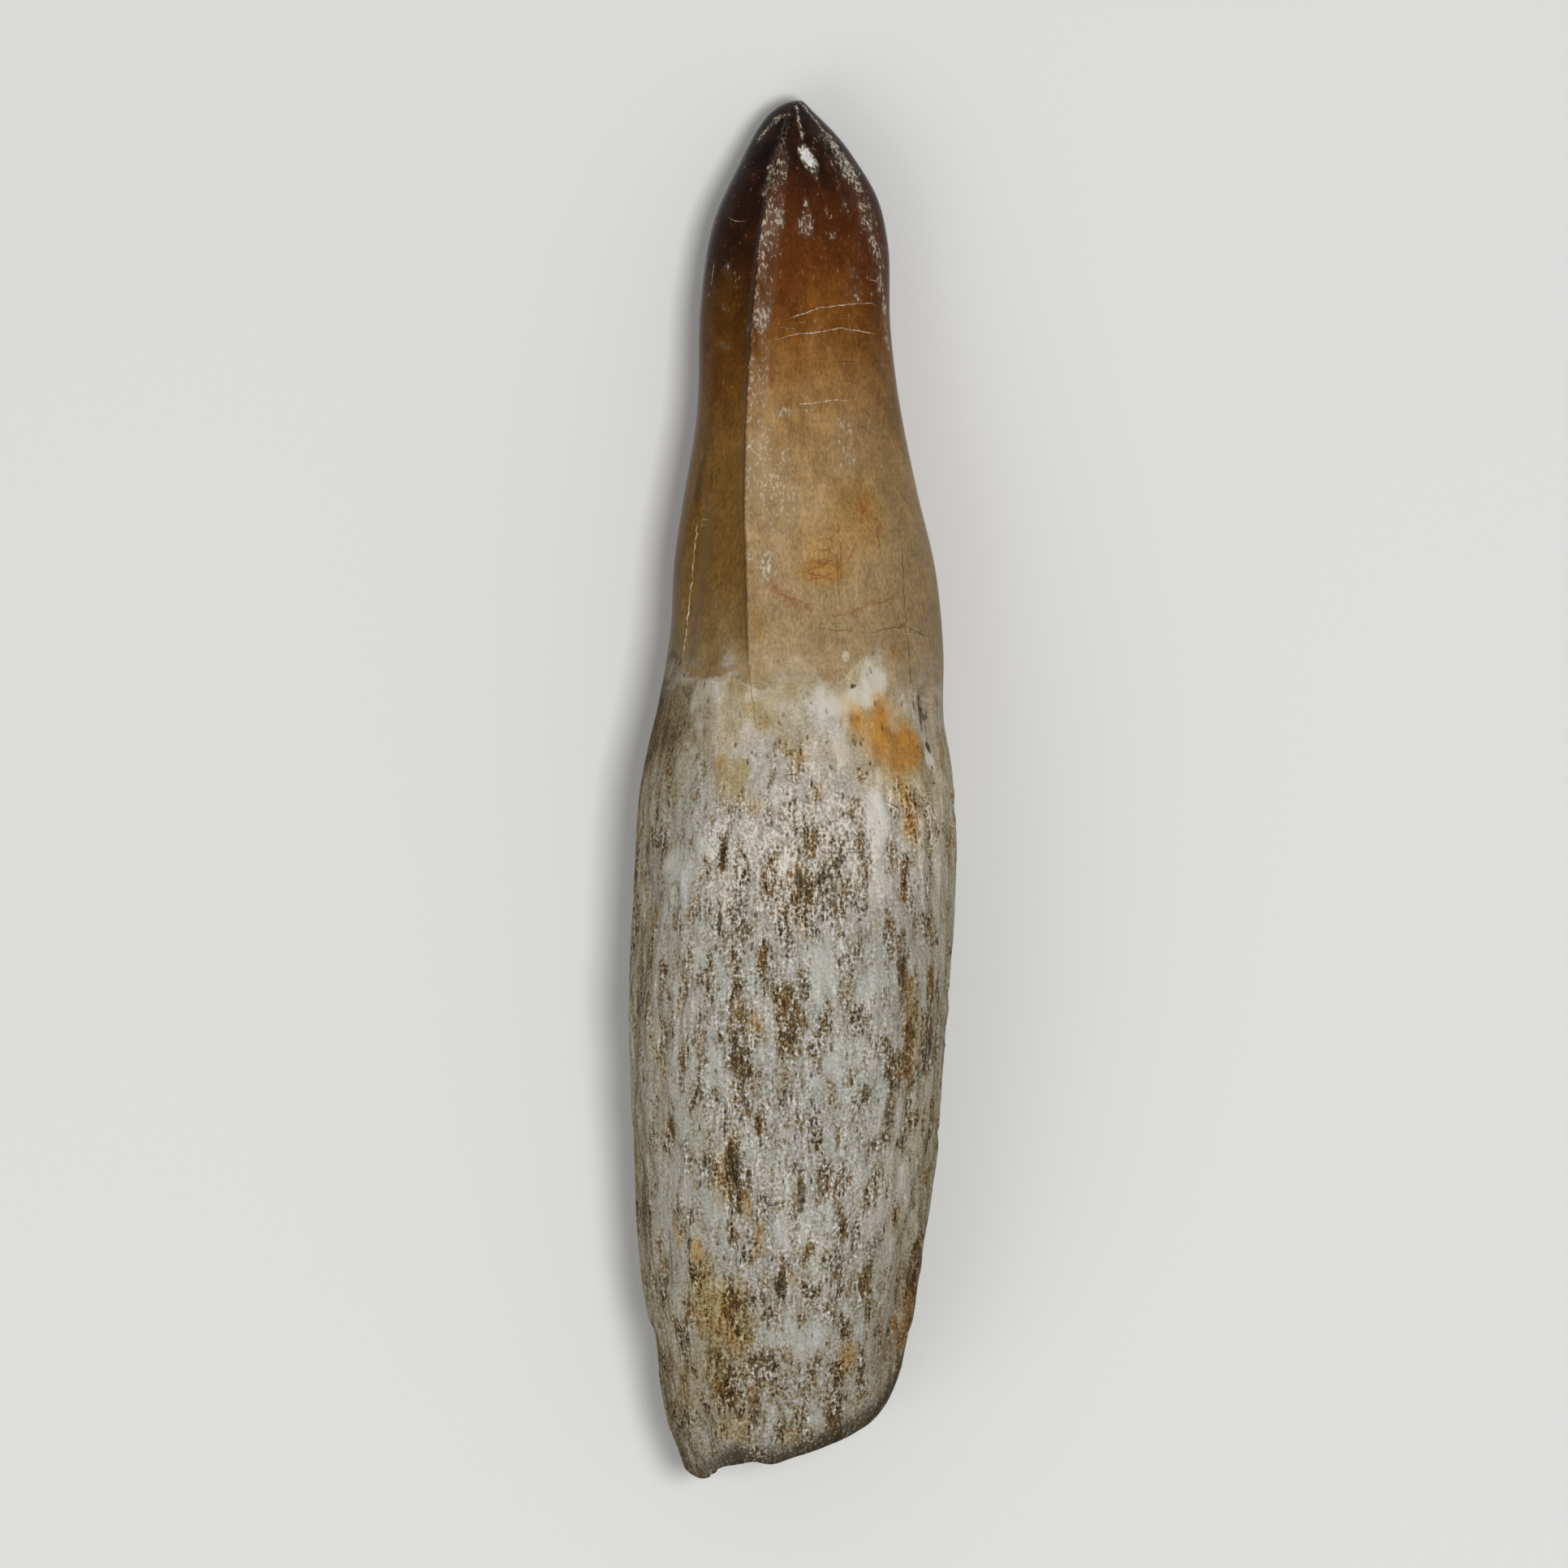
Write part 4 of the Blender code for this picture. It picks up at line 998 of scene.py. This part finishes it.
def root_finish(places, distance):
    """Chalky, fibrous root bone: colour, roughness and height in millimetres.

    Short dashes and longer fibres make the tone. Where pits are dense the dashes are dark against pale, and
    elsewhere they are faint. Pits are dense in the dirt field's patches and in scattered ones, and rare in
    the smooth collar, on pale patches and along the sides, where long soft strands show instead.
    """
    cloud = noise(places, 4.5, 11, 4)
    blotches = noise(places, 1.3, 3.2, 6, 5.0)
    wash = noise(places, 2.4, 3.2, 19, 4.0) - 0.5
    across = noise(places, 1.6, 0.25, 10) * step(noise(places, 4, 7, 13, 2.0), 0.5, 0.6)
    strands = effect(STREAKS, places, 0.6, 9.0, 7.0)
    fibres = effect(STREAKS, places, 0.28, 1.3, 6.0)
    dashes = effect(STREAKS, places, 0.21, 0.25, 9.0)
    collar = attribute(places, "collar")
    margin = attribute(places, "margin")
    to_break = attribute(places, "to_break")
    top = step(distance, 67, 54)
    upper = maths("MAXIMUM", collar, top)
    left = step(axis(places, "X"), -4, -9)

    whitened = ragged(places, "pale_bone", 1.6, 3.0, 1.1)
    patch = ragged(places, "dirt_and_shade", 1.2, 2.6, 0.9)
    golden = ragged(places, "olive", 2.0, softness=1.2)
    pale = whitened * step(fibres, 0.70, 0.44)
    strewn = step(blotches + 0.25 * cloud - 0.125, 0.47, 0.64)
    dense = 0.60 * patch + 0.60 * strewn + 0.15 * attribute(places, "hollow") - 0.55 * pale + 0.13
    dense = maths("MINIMUM", maths("MAXIMUM", dense - 0.8 * collar - 0.42 * margin, 0.0), 1.1)
    calm = 1 - 0.35 * pale - 0.25 * collar
    fibre_tone = (fibres - 0.5) * (2.3 * dense + 0.35) * calm
    # The dashes' pale extremes in dense patches are partly painted glints.
    dash_tone = (dashes - 0.5) * (3.0 * dense + 0.85) * calm
    strand_tone = (strands - 0.5) * (0.6 * margin + 0.35) * calm
    tone = fibre_tone + dash_tone + strand_tone - 0.40 * blotches + 0.30 * cloud - 0.07 * dense + 0.12 * pale
    # Painted shade: the tone is darker along the tooth's sides by the margin.
    tone = tone + collar * (0.65 * wash - 0.20 * left - 0.08) - 0.20 * upper * left - 0.20 * margin
    # Painted shade: the tone is darker over the last length before the break, where the surface slopes away
    # from the light.
    tone = tone + 0.17 * top - 0.09 * patch - 0.14 * golden - 0.10 * step(to_break, 18, 3) + 0.70
    colour = tinted(maths("SUBTRACT", upper, left, clamp=True), tone_run(tone, BONE_TONES), CREAM_TINT)

    soil, soil_colour = soil_cover(places, 0.6 * patch + dense, dashes)
    colour = mix(soil, colour, soil_colour)
    rusty = step(tone, 0.70, 0.42) * (0.6 * top + 0.4) * step(dense, 0.05, 0.45)
    colour = tinted(rusty * step(noise(places, 2.2, 4.0, 23), 0.42, 0.56), colour, PIT_TINT)
    dull = step(tone, 0.95, 0.66)
    colour = tinted(0.75 * patch * dull, colour, DIRT_TINT)
    colour = tinted(step(1.2 * cloud + 0.30 * margin, 0.55, 1.05), colour, BEIGE_TINT)
    colour = tinted(collar * step(cloud - wash, 0.26, 0.57) * (1 - 0.85 * left), colour, COLLAR_TINT)
    gold = step(noise(places, 1.4, 3, 7), 0.42, 0.62) * dull * (0.6 * dense)
    colour = tinted(gold, colour, GOLD_TINT)
    colour = mix(whitened * (0.46 * upper + 0.08) * (1.6 * wash + 1), colour, PALE_CRUST)

    holes = effect(HOLES, places, 0.30, 0.80, 0.58 * dense + 0.07 * collar + 0.05) * calm
    colour = mix(0.75 * holes, colour, PORE_DARK)
    colour = tinted(0.8 * golden, colour, GOLDEN_TINT)
    smooth = maths("MAXIMUM", collar, step(dashes, 0.62, 0.42, 0.5))
    colour = rust_stain(places, colour, 0.35 * collar + 0.20, 0.9, smooth)
    cracks = crack_line(places, "dark_crack", 0.07)
    colour = tinted(0.6 * cracks, colour, SHADE_TINT)
    # Dirt and painted shade in a ragged dark band along the break's rim, where the edge rolls away from the
    # light.
    rim = step(4 * (blotches - 0.5) + to_break, 2.0, 0.2, 0.95)
    colour = mix(rim * step(dashes, 0.82, 0.52) * (1 - 0.6 * left), colour, RIM_DIRT_AND_SHADE)
    height = 0.13 * fibre_tone + 0.11 * dash_tone + 0.12 * strand_tone + 0.07 * across - 0.22 * blotches
    return colour, 0.15 * fibres - 0.08 * pale + 0.70, height - 0.11 * holes - 0.05 * cracks


def soil_cover(places, dense, dashes):
    """How much brown soil hides the bone, and its colour, which is darkest in the middle of a streak.

    The soil lies in upright streaks that gather in patches, the more so the denser the pits.
    """
    soil = 0.9 * noise(places, 2.0, 5.0, 16, 4.0) + 0.7 * noise(places, 0.42, 2.2, 17)
    soil = soil + 0.20 * dense - 0.5 * dashes + 0.25
    fringe = mix(step(noise(places, 3.0, 5.0, 18, 2.0), 0.42, 0.60), SOIL_GREY, SOIL_OCHRE)
    return step(soil, 0.97, 1.10, 0.8), mix(step(soil, 1.04, 1.28), fringe, SOIL_DEEP)


def principled(name):
    """A new material and its Principled shader."""
    made = bpy.data.materials.new(name)
    made.use_nodes = True
    return made, made.node_tree.nodes["Principled BSDF"]


def object_places(made):
    """Places on a material's piece in millimetres, from the object's own coordinates."""
    own = node("TexCoord", {}, "Object", made.node_tree)
    return node("VectorMath", {0: own, "Scale": 1 / MM}, operation="SCALE")


def connect_finish(shader, colour, rough, height):
    """Join a finish to the shader. The height is in millimetres."""
    connect(shader.inputs["Base Color"], colour)
    connect(shader.inputs["Roughness"], rough)
    connect(shader.inputs["Normal"], node("Bump", {"Height": height, "Distance": MM, "Strength": 1.0}))


def tooth_material():
    """Enamel on the crown and bone on the root, which meet at a ragged edge, with dark marks over both."""
    made, shader = principled("enamel_and_root")
    places = object_places(made)
    distance = TIP_Y - axis(places, "Y")
    enamel_colour, enamel_rough, enamel_height = enamel_finish(places, distance)
    root_colour, root_rough, root_height = root_finish(places, distance)
    shake = noise(places, 2.2, 1.6, 8, 6.0)
    edge = 5 * shake + 2 * noise(places, 0.7, 0.5, 15, 4.0) + attribute(places, "enamel") - 3.5
    fading = 1.9 * step(noise(places, 3, 3, 14, 2.0), 0.40, 0.60) + 0.5
    crown = step(edge, -0.6 * fading, fading) * (1 - 0.85 * ragged(places, "pale_bone", 1.0, 3.0, 0.5))
    crown = crown * (1 - step(edge, 3.5, 0.2) * step(shake, 0.62, 0.40, 0.30))
    crust = step(edge, -4.0, -0.4) * step(shake, 0.34, 0.66, 0.35)
    colour = mix(crown, mix(crust, root_colour, COLLAR_CRUST), enamel_colour)
    dark = ragged(places, "dark", 0.5, 2.0, 0.5)
    colour = tinted(step(attribute(places, "dark"), -0.6, 0.8, 0.7), colour, SHADE_TINT)
    colour = mix(0.8 * dark, colour, PORE_DARK)
    rough = root_rough + crown * (enamel_rough - root_rough)
    height = root_height + crown * (enamel_height - root_height) + 0.012 * crown - 0.08 * dark
    connect_finish(shader, colour, rough, height)
    shader.inputs["Specular IOR Level"].default_value = ENAMEL_SHINE
    return made


def broken_material():
    """The broken end: a rim of pale bone round denser dentine and a sandy filling, with grains and pores."""
    made, shader = principled("broken_bone")
    places = object_places(made)
    lumps = noise(places, 2.2, 2.2, 21, 4.0)
    grains = noise(places, 0.45, 0.45, 22)
    inward = 0.9 * lumps + 0.3 * grains + attribute(places, "inward") - 0.6
    colour = mix(step(inward, 0.16, 0.34), BREAK_BONE, BREAK_DENTINE)
    colour = mix(step(inward, 0.52, 0.82), colour, BREAK_FILLING)
    # Dirt and painted shade on the face's outer zone, next to the rim.
    colour = mix(step(inward, 0.14, -0.10, 0.75), colour, RIM_DIRT_AND_SHADE)
    colour = shade(shade(colour, lumps, 1.2), grains, 1.2)
    share = step(lumps, 0.35, 0.65, 0.6)
    pores = maths("MAXIMUM", effect(HOLES, places, 0.9, 1.1, share), effect(HOLES, places, 0.45, 0.4, share))
    colour = mix(0.55 * pores, colour, PORE_DARK)
    connect_finish(shader, colour, 0.2 * grains + 0.72, 0.12 * grains + 0.10 * lumps - 0.2 * pores)
    return made


# The camera looks straight down, with the tip at the top of the picture, and takes in this width at the
# height of the tooth's sides. Lengths are in millimetres.
CAMERA_AT = (-0.65, 0.34, 1500.0)
SEEN_WIDTH = 119.2
SEEN_HEIGHT = 9.0
SENSOR = 36.0
CLIP_START = 10.0

# Each light is a soft square: its name, place in metres, side in metres and power in watts.
LIGHTS = (("key", (0.14, -0.04, 0.80), 0.18, 3.6), ("fill", (-0.40, -0.38, 0.56), 0.50, 1.2))
SKY_STRENGTH = 0.34
FLOOR_SIZE = 3.0
FLOOR_COLOUR = srgb(222, 222, 220)
FLOOR_ROUGHNESS = 0.9


def add_camera():
    data = bpy.data.cameras.new("camera")
    data.sensor_width = SENSOR
    data.lens = SENSOR * (CAMERA_AT[2] - SEEN_HEIGHT) / SEEN_WIDTH
    data.clip_start = CLIP_START * MM
    camera = add_object("camera", data)
    camera.location = [place * MM for place in CAMERA_AT]
    bpy.context.scene.camera = camera


def add_light(name, place, side, power):
    data = bpy.data.lights.new(name, "AREA")
    data.size = side
    data.energy = power
    light = add_object(name, data)
    light.location = place
    light.rotation_euler = (-Vector(place)).to_track_quat("-Z", "Y").to_euler()
    light.visible_camera = False


def add_stage():
    """A plain pale floor, an even pale sky and soft lights."""
    half = FLOOR_SIZE / 2
    mesh = bpy.data.meshes.new("floor")
    corners = [(-half, -half, 0), (half, -half, 0), (half, half, 0), (-half, half, 0)]
    mesh.from_pydata(corners, [], [(0, 1, 2, 3)])
    made, shader = principled("pale_floor")
    shader.inputs["Base Color"].default_value = FLOOR_COLOUR
    shader.inputs["Roughness"].default_value = FLOOR_ROUGHNESS
    mesh.materials.append(made)
    add_object("floor", mesh)
    world = bpy.data.worlds.new("sky")
    world.use_nodes = True
    sky = world.node_tree.nodes["Background"]
    sky.inputs["Strength"].default_value = SKY_STRENGTH
    sky.inputs["Color"].default_value = (1, 1, 1, 1)
    bpy.context.scene.world = world
    bpy.context.scene.view_settings.view_transform = "Standard"
    for light in LIGHTS:
        add_light(*light)


tooth = make_tooth(tooth_material(), broken_material())
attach(tooth, "root")
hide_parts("tooth")
add_stage()
add_camera()
